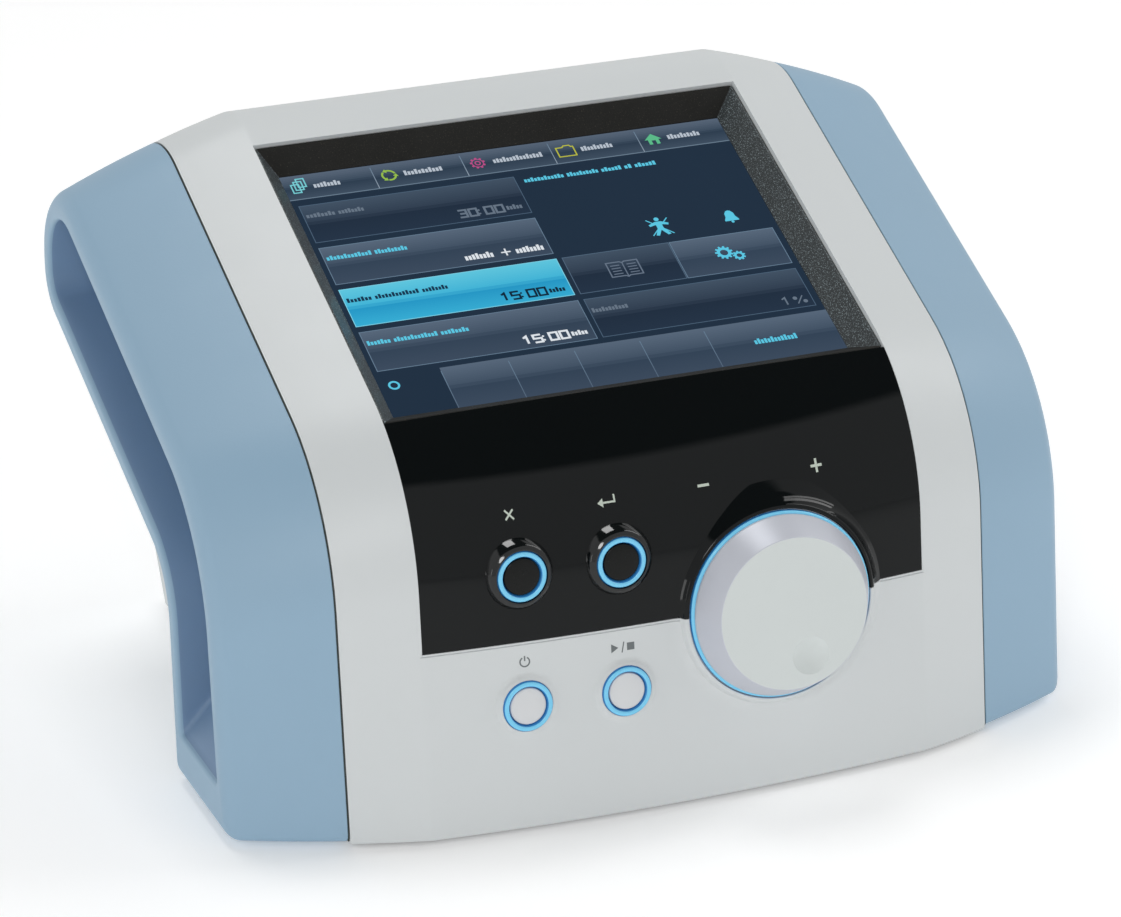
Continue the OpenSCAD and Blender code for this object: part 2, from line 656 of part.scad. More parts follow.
inlet_mid = inlet_x + 4;
plug_x = -13;        // places inside the inlet, from its middle
drawer_x = 6.5;
rocker_x = 19.5;
module mains_inlet() color(matte_black) placed() on_back(inlet_mid, inlet_z)
    difference() {
        union() {
            translate([-30, -16, 0.3]) cube([60, 32, 2]);
            translate([-27, -13, -25]) cube([54, 26, 26]);
        }
        // plug recess with its two cut corners
        translate([-plug_x, 0, -15]) linear_extrude(20)
            polygon([[-12, 8], [-12, -4.5], [-8.5, -8], [8.5, -8], [12, -4.5], [12, 8]]);
        translate([-drawer_x - 4.2, -11, -19]) cube([8.4, 22, 30]);
        translate([-rocker_x - 6.2, -10.2, -13]) cube([12.4, 20.4, 20]);
    }
module inlet_pins() color(steel) placed() on_back(inlet_mid, inlet_z)
    for (p = [[-7, -2], [0, 2.4], [7, -2]]) translate([-plug_x + p[0] - 1, p[1] - 2, -15])
        cube([2, 4, 14]);
module fuse_drawer() color(dark_grey) placed() on_back(inlet_mid, inlet_z) translate([-drawer_x, 0, 0])
    difference() {
        union() {
            translate([-4.8, -12, 2.7]) cube([9.6, 24, 1.6]);
            translate([-3.6, -10.4, -17.5]) cube([7.2, 20.8, 20.4]);
            translate([-3, 9.4, 4]) cube([6, 1.6, 1.2]);
        }
        for (y = [-5, 5]) translate([0, y, -16.6]) {
            cylinder(h = 18.4, r = 2.8);
            translate([0, -2.8, 0]) cube([5, 5.6, 18.4]);
        }
    }
module fuses() color(steel) placed() on_back(inlet_mid, inlet_z) translate([-drawer_x, 0, 0])
    for (y = [-5, 5]) translate([0, y, -16.4]) {
        cylinder(h = 4.4, r = 2.6);
        translate([0, 0, 4]) cylinder(h = 10, r = 2.2);
        translate([0, 0, 13.6]) cylinder(h = 4.4, r = 2.6);
    }
rocker_tilt = 8;
module mains_rocker() color(gloss_black) placed() on_back(inlet_mid, inlet_z)
    translate([-rocker_x, 0, -3.5]) rotate([rocker_tilt, 0, 0]) translate([-5.6, 0, 0])
        rotate([90, 0, 90]) linear_extrude(11.2)
            polygon([[-3, -5], [3, -5], [9, 2.4], [9, 5.4], [0, 4], [-9, 5.4], [-9, 2.4]]);

module applicator_sockets() color(dark_grey) placed() difference() {
    union() {
        translate([socket_xs[0] - socket_margin, rear_y + 0.3, socket_z - socket_margin])
            cube([socket_xs[1] - socket_xs[0] + 2 * socket_margin, 1.6, 2 * socket_margin]);
        for (x = socket_xs) on_back(x, socket_z) {
            translate([0, 0, 0.3]) cylinder(h = 2.4, r = 11.5);
            translate([0, 0, -19]) cylinder(h = 20, r = 9.6);
            translate([0, 0, -6]) cylinder(h = 2.6, r = 13);
        }
    }
    for (x = socket_xs) on_back(x, socket_z) translate([0, 0, -13]) cylinder(h = 20, r = 7.4);
}
module socket_pins() color(steel) placed() for (x = socket_xs) on_back(x, socket_z)
    for (k = [0:4]) translate([4 * cos(72 * k + 90), 4 * sin(72 * k + 90), -13]) cylinder(h = 9, r = 0.7);

module earth_pin() color(steel) placed() on_back(earth_x, inlet_z) rotate_extrude() polygon([
    [0, -14], [3, -14], [3, 0.3], [6, 0.3], [6, 2.4], [2.5, 2.4], [2.5, 3.4], [3, 4],
    [3, earth_pin_l - 0.6], [2.4, earth_pin_l], [0, earth_pin_l]]);

// ---------------------------------------------------------------- screws and wiring

module screw(l) {
    translate([0, 0, -1.8]) cylinder(h = 1.8, r = 2.6);
    translate([0, 0, -0.1]) cylinder(h = l, r = screw_r - 0.05);
}
module case_screws() color(steel) placed() {
    both_sides() for (p = side_screws) translate([side_plate_in - 0.1, p[0], p[1]])
        rotate([0, 90, 0]) screw(11.5);
    on_keypad() for (p = keypad_screws) translate([p[0], p[1], board_front - 1.7]) screw(8);
    on_desk() for (x = [-posts_x, posts_x], y = posts_y)
        translate([x, y, bracket_w - bracket_t - 0.1]) screw(14.8);
}

// a flat strip of thickness t that follows a path, in two dimensions
function normal(p, i) = let (a = p[max(0, i - 1)], b = p[min(len(p) - 1, i + 1)],
    d = (b - a) / norm(b - a)) [-d[1], d[0]];
function strip(p, t) = concat([for (i = [0:len(p) - 1]) p[i] + normal(p, i) * t / 2],
    [for (i = [len(p) - 1:-1:0]) p[i] - normal(p, i) * t / 2]);

function bend(p0, p1, p2, p3, n) = [for (k = [0:n]) let (t = k / n)
    pow(1 - t, 3) * p0 + 3 * t * pow(1 - t, 2) * p1 + 3 * t * t * (1 - t) * p2 + t * t * t * p3];

module keypad_ribbon() color(dark_grey) placed() across(-68, -44)
    polygon(strip(bend([13.2, 29.5], [60, 30], [46, 84], [64.5, 113.4], 16), 0.9));
module screen_ribbon() color(dark_grey) placed() on_desk() translate([-12, 0, 0]) rotate([90, 0, 90])
    linear_extrude(24) polygon(strip(bend([-34, lcd_w - lcd_t - 0.4], [-34, lcd_w - lcd_t - 8],
        [-16, main_w + 9], [-16, main_w + 0.5], 14), 0.5));

// a wire that leaves along -Y for a, turns down with the bend radius and ends after b
module lead(a, bend_r, b, r) {
    rotate([90, 0, 0]) cylinder(h = a, r = r, $fn = 24);
    translate([0, -a, -bend_r]) rotate([180, -90, 0]) rotate_extrude(angle = 90)
        translate([bend_r, 0]) circle(r = r, $fn = 24);
    translate([0, -a - bend_r, -bend_r - b]) cylinder(h = b, r = r, $fn = 24);
}
module mains_wires() color(matte_black) placed() for (x = [66, 78, 97]) translate([x, 181.6, 34]) {
    rotate([90, 0, 0]) cylinder(h = 13, r = 1.5, $fn = 24);
    translate([-3.2, -6, -2.2]) cube([6.4, 6, 4.4]);
}
module applicator_leads() color(matte_black) placed() for (x = socket_xs)
    translate([x, 187.6, socket_z]) lead(4, 8, 11, 2.2);
module fan_lead() color(matte_black) placed() translate([40, 188.1, 86]) lead(10, 12, 31, 1.3);

front_cover();
rear_cover();
left_side_cover();
right_side_cover();
left_gasket();
right_gasket();
base_plate();
rubber_feet();
control_panel();
display_bezel();
touch_glass();
lcd_module();
lcd_bracket();
main_board();
keypad_board();
esc_button();
enter_button();
power_button();
start_button();
button_rings();
tact_switches();
knob();
knob_ring();
encoder_body();
encoder_shaft();
power_supply();
generator_board();
heat_sink();
board_spacers();
fan_frame();
fan_rotor();
fan_guard();
mains_inlet();
inlet_pins();
fuse_drawer();
fuses();
mains_rocker();
applicator_sockets();
socket_pins();
earth_pin();
speaker();
case_screws();
keypad_ribbon();
screen_ribbon();
mains_wires();
applicator_leads();
fan_lead();
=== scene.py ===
"""Looks of the desktop ultrasound therapy device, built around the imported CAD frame.

Shapes are worked out in the CAD design frame, in millimetres, and placed in metres.
"""
import math

import bpy
import numpy as np
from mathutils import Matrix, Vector


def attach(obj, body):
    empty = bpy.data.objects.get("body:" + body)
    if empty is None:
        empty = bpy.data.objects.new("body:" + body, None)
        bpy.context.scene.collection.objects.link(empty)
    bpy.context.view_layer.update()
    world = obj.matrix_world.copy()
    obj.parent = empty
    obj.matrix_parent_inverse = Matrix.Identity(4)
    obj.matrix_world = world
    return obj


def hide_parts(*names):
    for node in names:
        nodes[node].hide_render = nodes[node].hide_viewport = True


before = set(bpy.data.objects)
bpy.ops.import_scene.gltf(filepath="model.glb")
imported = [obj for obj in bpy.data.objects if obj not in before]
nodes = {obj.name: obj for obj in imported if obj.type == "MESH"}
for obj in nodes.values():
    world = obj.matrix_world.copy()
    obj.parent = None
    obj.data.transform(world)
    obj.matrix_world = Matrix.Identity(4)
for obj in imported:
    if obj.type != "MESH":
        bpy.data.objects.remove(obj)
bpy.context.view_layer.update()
scene = bpy.context.scene

# ---------------- case construction
# whole width, half of the flat middle, distance of the seam
CASE_W, FLAT_HALF, SEAM_X = 320.0, 94.0, 121.2
DESK_ANGLE, FACE_ANGLE, KNEE_R = 21.6, 83.0, 70.0
# fall of the wings at the side and their slope at their start, bow of the face's foot
WING_DROP, WING_SLOPE, CROWN = 24.7, 0.255, 4.8
WALL, FOOT_H, EARTH_PIN_L = 3.0, 3.0, 9.0
# a point of the desk line, foot of the control face
DESK_Y, DESK_Z, FACE_Y = 155.0, 193.0, -24.6
# back of the head and radius over its top edge, at the seam and at the side
REAR_Y, REAR_Y_SIDE, ROLL_R, ROLL_R_SIDE = 207.0, 205.0, 33.0, 30.0
# joints of the front cover with the rear cover and with the panel
SPLIT_Z, PANEL_Z = 150.0, 67.0
HALF_W = CASE_W / 2
SIDE_IN, COVER_HALF = SEAM_X + 0.3, SEAM_X - 0.3
# side cover: a point of its lower line, back of the leg, edges and pocket
UNDER_Y, UNDER_Z, UNDER_ANGLE = 79.8, 79.1, 20.8
LEG_Y, LEG_ANGLE = 59.4, 86.0
UNDER_TIP_R, UNDER_KNEE_R = 20.0, 25.0
EDGE_R, POCKET_RIM, POCKET_DEPTH, POCKET_FLOOR = 4.5, 8.6, 26.0, 17.0
# the desk plane's origin, over the middle of the screen, and the opening round it
DESK_MID = np.array([88.2, 166.4])
APERTURE_TOP, APERTURE_LOW, APERTURE_HALF = 72.1, 74.0, FLAT_HALF - 0.1
SCREEN_W, SCREEN_H, SCREEN_DEPTH = 171.6, 127.7, 9.1
KNOB_X, KNOB_Z, KNOB_FACE_R, KNOB_FACE_H = 36.0, 66.7, 27.5, 15.6
BUTTON_X, BUTTON_Z, RING_R, CAP_R = (-58.0, -22.0), (44.3, 90.8), 9.15, 6.6
GLASS_W = -9.7  # the touch glass's front, from the desk plane
BUTTON_RISE = 1.2  # a white button's seat above the face
COLLAR_TOP, COLLAR_IN, COLLAR_LOW = 3.4, 34.3, -4.0
BOSS_TOP, BOSS_IN, BOSS_LOW = 2.0, 9.25, -3.2
REACH = 25  # a control changes only the skin this near its plane
FLARE = 0.35  # how much the foot of a raised place is hollowed
PROBE = 0.4  # half the length that gives the skin's direction
SNAP = 0.25  # skin points this near a hole's edge are drawn onto the edge
MITRE_MIN = 0.4  # keeps the point of a sharp corner short


def sind(a):
    return math.sin(math.radians(a))


def cosd(a):
    return math.cos(math.radians(a))


def circle_points(n):
    """n points of the unit circle, anticlockwise."""
    return [(math.cos(2 * math.pi * k / n), math.sin(2 * math.pi * k / n)) for k in range(n)]


def wing(u):
    w = HALF_W - FLAT_HALF
    return WING_SLOPE * u + (WING_DROP - WING_SLOPE * w) * (u / w) ** 2


def drop(x):
    return wing(abs(x) - FLAT_HALF) if abs(x) > FLAT_HALF else 0.0


def back(x):
    if abs(x) > FLAT_HALF:
        return wing(abs(x) - FLAT_HALF)
    return -CROWN * (1 - (x / FLAT_HALF) ** 2)


def outward(x):
    return max(0.0, (abs(x) - SEAM_X) / (HALF_W - SEAM_X))


def rear_at(x):
    return REAR_Y + (REAR_Y_SIDE - REAR_Y) * outward(x)


def roll_at(x):
    return ROLL_R + (ROLL_R_SIDE - ROLL_R) * outward(x)


def face_at(x, z):
    return FACE_Y + back(x) + z / math.tan(math.radians(FACE_ANGLE))


def direction(a):
    return np.array([cosd(a), sind(a)])


def inward(a):
    return np.array([sind(a), -cosd(a)])


def cross2(a, b):
    return a[0] * b[1] - a[1] * b[0]


def meet(p, a, q, b):
    """Where the line through p at angle a meets the line through q at angle b."""
    p, q = np.asarray(p, float), np.asarray(q, float)
    return p + direction(a) * cross2(q - p, direction(b)) / cross2(direction(a), direction(b))


def corner_arc(a, b, c, r, n):
    """Points of the arc of radius r that rounds corner b of the path a-b-c."""
    u = (b - a) / np.linalg.norm(b - a)
    v = (c - b) / np.linalg.norm(c - b)
    turn = math.atan2(cross2(u, v), float(u @ v))
    start = b - u * abs(r * math.tan(turn / 2))
    centre = start + math.copysign(r, turn) * np.array([-u[1], u[0]])
    q = start - centre
    return [centre + np.array([q[0] * math.cos(g) - q[1] * math.sin(g),
                               q[0] * math.sin(g) + q[1] * math.cos(g)])
            for g in (turn * k / n for k in range(n + 1))]


MID_Y = (face_at(KNOB_X, KNOB_Z) - KNOB_FACE_H * sind(FACE_ANGLE) - KNOB_FACE_R * cosd(FACE_ANGLE)
         + REAR_Y + EARTH_PIN_L) / 2


def placed(points):
    """Design millimetres to the shared frame's metres."""
    p = np.asarray(points, float).reshape(-1, 3)
    return (p + np.array([0.0, -MID_Y, FOOT_H])) / 1000


# ---------------- surface frames
FACE_UP = np.array([0.0, cosd(FACE_ANGLE), sind(FACE_ANGLE)])
FACE_OUT = np.array([0.0, -sind(FACE_ANGLE), cosd(FACE_ANGLE)])
DESK_UP = np.array([0.0, cosd(DESK_ANGLE), sind(DESK_ANGLE)])
DESK_OUT = np.array([0.0, -sind(DESK_ANGLE), cosd(DESK_ANGLE)])
X_AXIS = np.array([1.0, 0.0, 0.0])


def face_point(cx, cz):
    return np.array([cx, face_at(cx, cz), cz])


def on_face(cx, cz):
    """Map from (across, up, out) round a point of the control face to design points."""
    o = face_point(cx, cz)
    return lambda u, v, w: o + u * X_AXIS + v * FACE_UP + w * FACE_OUT


def on_desk(u, v, w):
    return np.array([0.0, DESK_MID[0], DESK_MID[1]]) + u * X_AXIS + v * DESK_UP + w * DESK_OUT


class SkinLine:
    """The front skin's outline at one station, walked by its length."""

    def __init__(self, x):
        face, desk = [FACE_Y + back(x), 0], [DESK_Y, DESK_Z - drop(x)]
        foot = meet(face, FACE_ANGLE, [0, 0], 0)
        knee = meet(face, FACE_ANGLE, desk, DESK_ANGLE)
        top = meet(desk, DESK_ANGLE, [rear_at(x), 0], 90)
        end = np.array([rear_at(x), SPLIT_Z])
        pts = [foot, *corner_arc(foot, knee, top, KNEE_R, 60),
               *corner_arc(knee, top, end, roll_at(x), 36), end]
        self.p = np.array(pts)
        self.s = np.concatenate([[0], np.cumsum(np.linalg.norm(np.diff(self.p, axis=0), axis=1))])
        v = (self.p - DESK_MID) @ direction(DESK_ANGLE)
        z = self.p[:, 1]
        iz, iv = int(z.argmax()) + 1, int(v.argmax()) + 1
        self.z_top, self.z_s = z[:iz], self.s[:iz]
        self.anchors = [0.0, float(np.interp(PANEL_Z, z[:iz], self.s[:iz])),
                        float(np.interp(-APERTURE_LOW - 0.15, v[:iv], self.s[:iv])),
                        float(np.interp(APERTURE_TOP, v[:iv], self.s[:iv])), float(self.s[-1])]

    def at(self, s):
        return np.array([np.interp(s, self.s, self.p[:, 0]), np.interp(s, self.s, self.p[:, 1])])

    def out(self, s):
        t = self.at(min(s + PROBE, self.s[-1])) - self.at(max(s - PROBE, 0))
        t /= np.linalg.norm(t)
        return np.array([-t[1], t[0]])

    def at_height(self, z):
        return float(np.interp(z, self.z_top, self.z_s))


LINES = {}


def skin_line(x):
    key = round(x, 4)
    if key not in LINES:
        LINES[key] = SkinLine(x)
    return LINES[key]


def on_skin(x, z, w):
    """The skin's point at station x and height z, lifted by w along the skin's outward side."""
    line = skin_line(x)
    s = line.at_height(z)
    p = line.at(s) + line.out(s) * w
    return np.array([x, p[0], p[1]])


# ---------------- materials
def srgb(r, g, b):
    """An sRGB colour, 0 to 255, as linear RGBA."""
    def lin(c):
        c /= 255
        return c / 12.92 if c <= 0.04045 else ((c + 0.055) / 1.055) ** 2.4
    return (lin(r), lin(g), lin(b), 1.0)


BLOTCH = 9.0  # scale of the uneven colour; the uneven roughness is finer


def put(node, **values):
    """Sets a node's inputs; an underscore stands for a space."""
    for key, value in values.items():
        node.inputs[key.replace("_", " ")].default_value = value


def material(name, color, rough, rough_var=0.06, tint=0.04, grain=(900, 2e-5), grain2=None,
             attribute=None, emission=0.0, fleck=None, **sockets):
    """A procedural moulded finish: uneven colour and roughness, and a fine grain as bump.

    grain: scale and height in metres. fleck: scale, threshold and colour of small spots.
    attribute: a colour attribute that glows instead of the one colour.
    """
    m = bpy.data.materials.new(name)
    m.use_nodes = True
    nt = m.node_tree
    n, link = nt.nodes, nt.links.new
    shader = n["Principled BSDF"]
    coord = n.new("ShaderNodeTexCoord").outputs["Object"]

    def noise(scale, detail=3.0, roughness=0.55):
        t = n.new("ShaderNodeTexNoise")
        put(t, Scale=scale, Detail=detail, Roughness=roughness)
        link(coord, t.inputs["Vector"])
        return t.outputs["Fac"]

    def ramp(fac, stops):
        r = n.new("ShaderNodeValToRGB")
        e = r.color_ramp.elements
        while len(e) < len(stops):
            e.new(0.5)
        for k, (pos, col) in enumerate(stops):
            e[k].position, e[k].color = pos, col
        link(fac, r.inputs["Fac"])
        return r.outputs["Color"]

    def shade(c, f):
        return (c[0] * f, c[1] * f, c[2] * f, 1.0)

    uneven = noise(BLOTCH, 4.0)
    if attribute:
        a = n.new("ShaderNodeAttribute")
        a.attribute_name = attribute
        mul = n.new("ShaderNodeMix")
        mul.data_type, mul.blend_type = "RGBA", "MULTIPLY"
        put(mul, Factor=1.0)
        link(a.outputs["Color"], mul.inputs["A"])
        link(ramp(uneven, [(0.3, (0.95, 0.95, 0.95, 1)), (0.7, (1, 1, 1, 1))]), mul.inputs["B"])
        link(mul.outputs["Result"], shader.inputs["Emission Color"])
        put(shader, Emission_Strength=emission, Base_Color=color)
    else:
        base = ramp(uneven, [(0.32, shade(color, 1 - tint)), (0.68, shade(color, 1 + tint))])
        if fleck:
            spots = ramp(noise(fleck[0], 2.0, 0.7),
                         [(fleck[1], (0, 0, 0, 1)), (fleck[1] + 0.06, (1, 1, 1, 1))])
            mix = n.new("ShaderNodeMix")
            mix.data_type = "RGBA"
            link(spots, mix.inputs["Factor"])
            link(base, mix.inputs["A"])
            put(mix, B=fleck[2])
            base = mix.outputs["Result"]
        link(base, shader.inputs["Base Color"])
        if emission:
            put(shader, Emission_Color=color, Emission_Strength=emission)
    if rough_var:
        rng = n.new("ShaderNodeMapRange")
        put(rng, From_Min=0.3, From_Max=0.7, To_Min=max(0.0, rough - rough_var),
            To_Max=min(1.0, rough + rough_var))
        link(noise(BLOTCH * 7, 5.0), rng.inputs["Value"])
        link(rng.outputs["Result"], shader.inputs["Roughness"])
    else:
        put(shader, Roughness=rough)
    normal = None
    for scale, height in [g for g in (grain, grain2) if g]:
        bump = n.new("ShaderNodeBump")
        put(bump, Strength=1.0, Distance=height)
        link(noise(scale, 2.0, 0.6), bump.inputs["Height"])
        if normal:
            link(normal, bump.inputs["Normal"])
        normal = bump.outputs["Normal"]
    if normal:
        link(normal, shader.inputs["Normal"])
    put(shader, **sockets)
    return m


M = {
    "white": material("white_moulded", srgb(205, 209, 210), 0.42, rough_var=0.015, grain=(1500, 1e-5),
                      tint=0.006),
    "blue": material("blue_moulded", srgb(141, 171, 193), 0.46, rough_var=0.03, grain=(1300, 22e-6),
                     tint=0.012, grain2=(420, 1e-5)),
    # a darker copy of the blue: painted shade on the walls inside the grip pockets
    "blue_painted_shade": material("blue_pocket_wall_painted_shade", srgb(119, 146, 176), 0.5, rough_var=0.03,
                          grain=(1300, 22e-6), tint=0.02, grain2=(420, 1e-5)),
    "panel": material("gloss_black_panel", srgb(12, 15, 16), 0.05, rough_var=0.02, tint=0.05,
                      grain=(60, 4e-6), IOR=1.30),
    "boss": material("gloss_black_boss", srgb(12, 15, 16), 0.07, rough_var=0.02, tint=0.05,
                     grain=(200, 2e-6), IOR=1.5),
    "bezel": material("bezel_black", srgb(36, 42, 44), 0.45, grain=(2300, 4e-5), tint=0.1,
                      fleck=(2400, 0.58, srgb(140, 154, 158))),
    # a darker copy of the bezel's black: painted shade on the screen frame's top and lower walls
    "bezel_painted_shade": material("bezel_long_walls_painted_shade", srgb(20, 20, 17), 0.65, grain=(2300, 4e-5), tint=0.1,
                           fleck=(2600, 0.64, srgb(70, 66, 56)), IOR=1.35),
    "glass": material("screen_glass", srgb(8, 12, 16), 0.06, rough_var=0.02, grain=(50, 2e-6), IOR=1.3),
    "lcd": material("screen_picture", srgb(4, 6, 8), 0.1, rough_var=0.03, grain=(1800, 2e-6),
                    attribute="shade", emission=1.0, IOR=1.3),
    "cap_black": material("key_black", srgb(10, 12, 11), 0.25, grain=(1600, 8e-6), IOR=1.3),
    "cap_white": material("key_white", srgb(210, 212, 214), 0.38, grain=(1600, 8e-6), tint=0.012),
    "ring": material("light_ring_crown", srgb(112, 192, 226), 0.25, grain=(700, 1e-5), emission=0.16,
                     tint=0.06),
    # a darker copy of the ring's blue: painted shade on the light rings' rounded sides
    "ring_edge_painted_shade": material("light_ring_edge_painted_shade", srgb(44, 122, 186), 0.25, grain=(700, 1e-5), emission=0.15,
                          tint=0.08),
    "knob_face": material("knob_face_white", srgb(206, 212, 211), 0.45, grain=(1700, 12e-6), tint=0.01),
    "knob_skirt": material("knob_skirt_silver", srgb(196, 199, 208), 0.4, grain=(1500, 8e-6), tint=0.012,
                           rough_var=0.02, Metallic=0.15),
    "print_light": material("print_light", srgb(190, 200, 188), 0.5, grain=(2500, 1e-5)),
    "print_grey": material("print_grey", srgb(104, 110, 112), 0.55, grain=(2500, 1e-5)),
    "seal": material("seal_dark", srgb(58, 66, 62), 0.7, grain=(800, 3e-5)),
    "steel": material("sheet_steel", srgb(178, 180, 182), 0.34, grain=(300, 2e-5), tint=0.06,
                      Metallic=1.0),
    "brass": material("contact_brass", srgb(196, 160, 92), 0.3, grain=(900, 1e-5), tint=0.08,
                      Metallic=1.0),
    "board": material("circuit_board", srgb(34, 92, 58), 0.45, grain=(600, 5e-5), tint=0.15),
    "aluminium": material("fins_aluminium", srgb(190, 192, 195), 0.38, grain=(500, 2e-5), Metallic=1.0),
    "dark": material("dark_plastic", srgb(44, 46, 48), 0.5, grain=(1100, 4e-5), tint=0.06),
    "grey": material("grey_plastic", srgb(84, 88, 92), 0.5, grain=(1100, 3e-5), tint=0.05),
    "rubber": material("foot_rubber", srgb(38, 39, 40), 0.75, grain=(700, 6e-5), tint=0.08),
    "wire": material("wire_cover", srgb(34, 34, 36), 0.55, grain=(900, 3e-5), tint=0.08),
}


# ---------------- mesh helpers
def linked(name, data):
    o = bpy.data.objects.new(name, data)
    scene.collection.objects.link(o)
    return o


def add_object(name, surface, mats, slot, body="case", replaces=(), smooth=True, sharp=None,
               face_mat=None):
    """A new piece from its surface, a pair of points and faces."""
    points, faces = surface
    me = bpy.data.meshes.new(name)
    me.from_pydata([tuple(p) for p in placed(points)], [], faces)
    me.validate()
    for m in mats if isinstance(mats, (list, tuple)) else [mats]:
        me.materials.append(m)
    if face_mat is not None:
        me.polygons.foreach_set("material_index", face_mat)
    me.polygons.foreach_set("use_smooth", [smooth] * len(me.polygons))
    if sharp is not None:
        me.set_sharp_from_angle(angle=math.radians(sharp))
    me.update()
    o = linked(name, me)
    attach(o, body)
    if replaces:
        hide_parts(*replaces)
    return o


def bevel(o, width_mm, angle=40):
    b = o.modifiers.new("edges", "BEVEL")
    b.width, b.segments = width_mm / 1000, 2
    b.limit_method, b.angle_limit = "ANGLE", math.radians(angle)
    b.harden_normals = True
    b.use_clamp_overlap = True


def loft(rings, caps=True):
    """Points and faces of a surface through rings of equal length. Outlines run anticlockwise
    seen from the end that the first ring is at."""
    n = len(rings[0])
    pts = [p for r in rings for p in r]
    faces = []
    for j in range(len(rings) - 1):
        for i in range(n):
            k = (i + 1) % n
            faces.append((j * n + i, (j + 1) * n + i, (j + 1) * n + k, j * n + k))
    if caps:
        faces.append(tuple(range(n)))
        faces.append(tuple(range(len(rings) * n - 1, (len(rings) - 1) * n - 1, -1)))
    return pts, faces


def fillet(corners, n=5):
    """A 2-D path of (a, b, radius) corners with each corner rounded."""
    pts = [np.array(c[:2], float) for c in corners]
    out = []
    for i, c in enumerate(corners):
        if 0 < i < len(corners) - 1 and c[2] > 0:
            out += corner_arc(pts[i - 1], pts[i], pts[i + 1], c[2], n)
        else:
            out.append(pts[i])
    return [tuple(p) for p in out]


def band_mats(count, segments, marked):
    """Material 1 for the marked bands of a lathe or loft, 0 for the others."""
    return [1 if j in marked else 0 for j in range(count) for _ in range(segments)]


def half_lathe(loop, place, a0, a1, segments=72):
    """A closed loop of (radius, height), clockwise, swept from angle a0 to a1 in degrees."""
    n = len(loop)
    pts = []
    for k in range(segments + 1):
        a = a0 + (a1 - a0) * k / segments
        pts += [place(r * cosd(a), r * sind(a), h) for r, h in loop]
    faces = [(k * n + i, k * n + (i + 1) % n, (k + 1) * n + (i + 1) % n, (k + 1) * n + i)
             for k in range(segments) for i in range(n)]
    faces.append(tuple(range(n - 1, -1, -1)))
    faces.append(tuple(range(segments * n, segments * n + n)))
    return pts, faces


def lathe(profile, place, segments=96, closed=False):
    """Turns a profile of (radius, height), from the axis at the top to the axis below, or a
    closed loop, round the local out axis."""
    pts, faces, rows = [], [], []
    for r, h in profile:
        if r < 1e-6:
            rows.append([len(pts)])
            pts.append(place(0, 0, h))
        else:
            rows.append(list(range(len(pts), len(pts) + segments)))
            pts += [place(r * c, r * s, h) for c, s in circle_points(segments)]
    pairs = list(zip(rows, rows[1:])) + ([(rows[-1], rows[0])] if closed else [])
    for a, b in pairs:
        for k in range(segments):
            k2 = (k + 1) % segments
            if len(a) == 1:
                faces.append((a[0], b[k], b[k2]))
            elif len(b) == 1:
                faces.append((a[k], b[0], a[k2]))
            else:
                faces.append((a[k], b[k], b[k2], a[k2]))
    return pts, faces


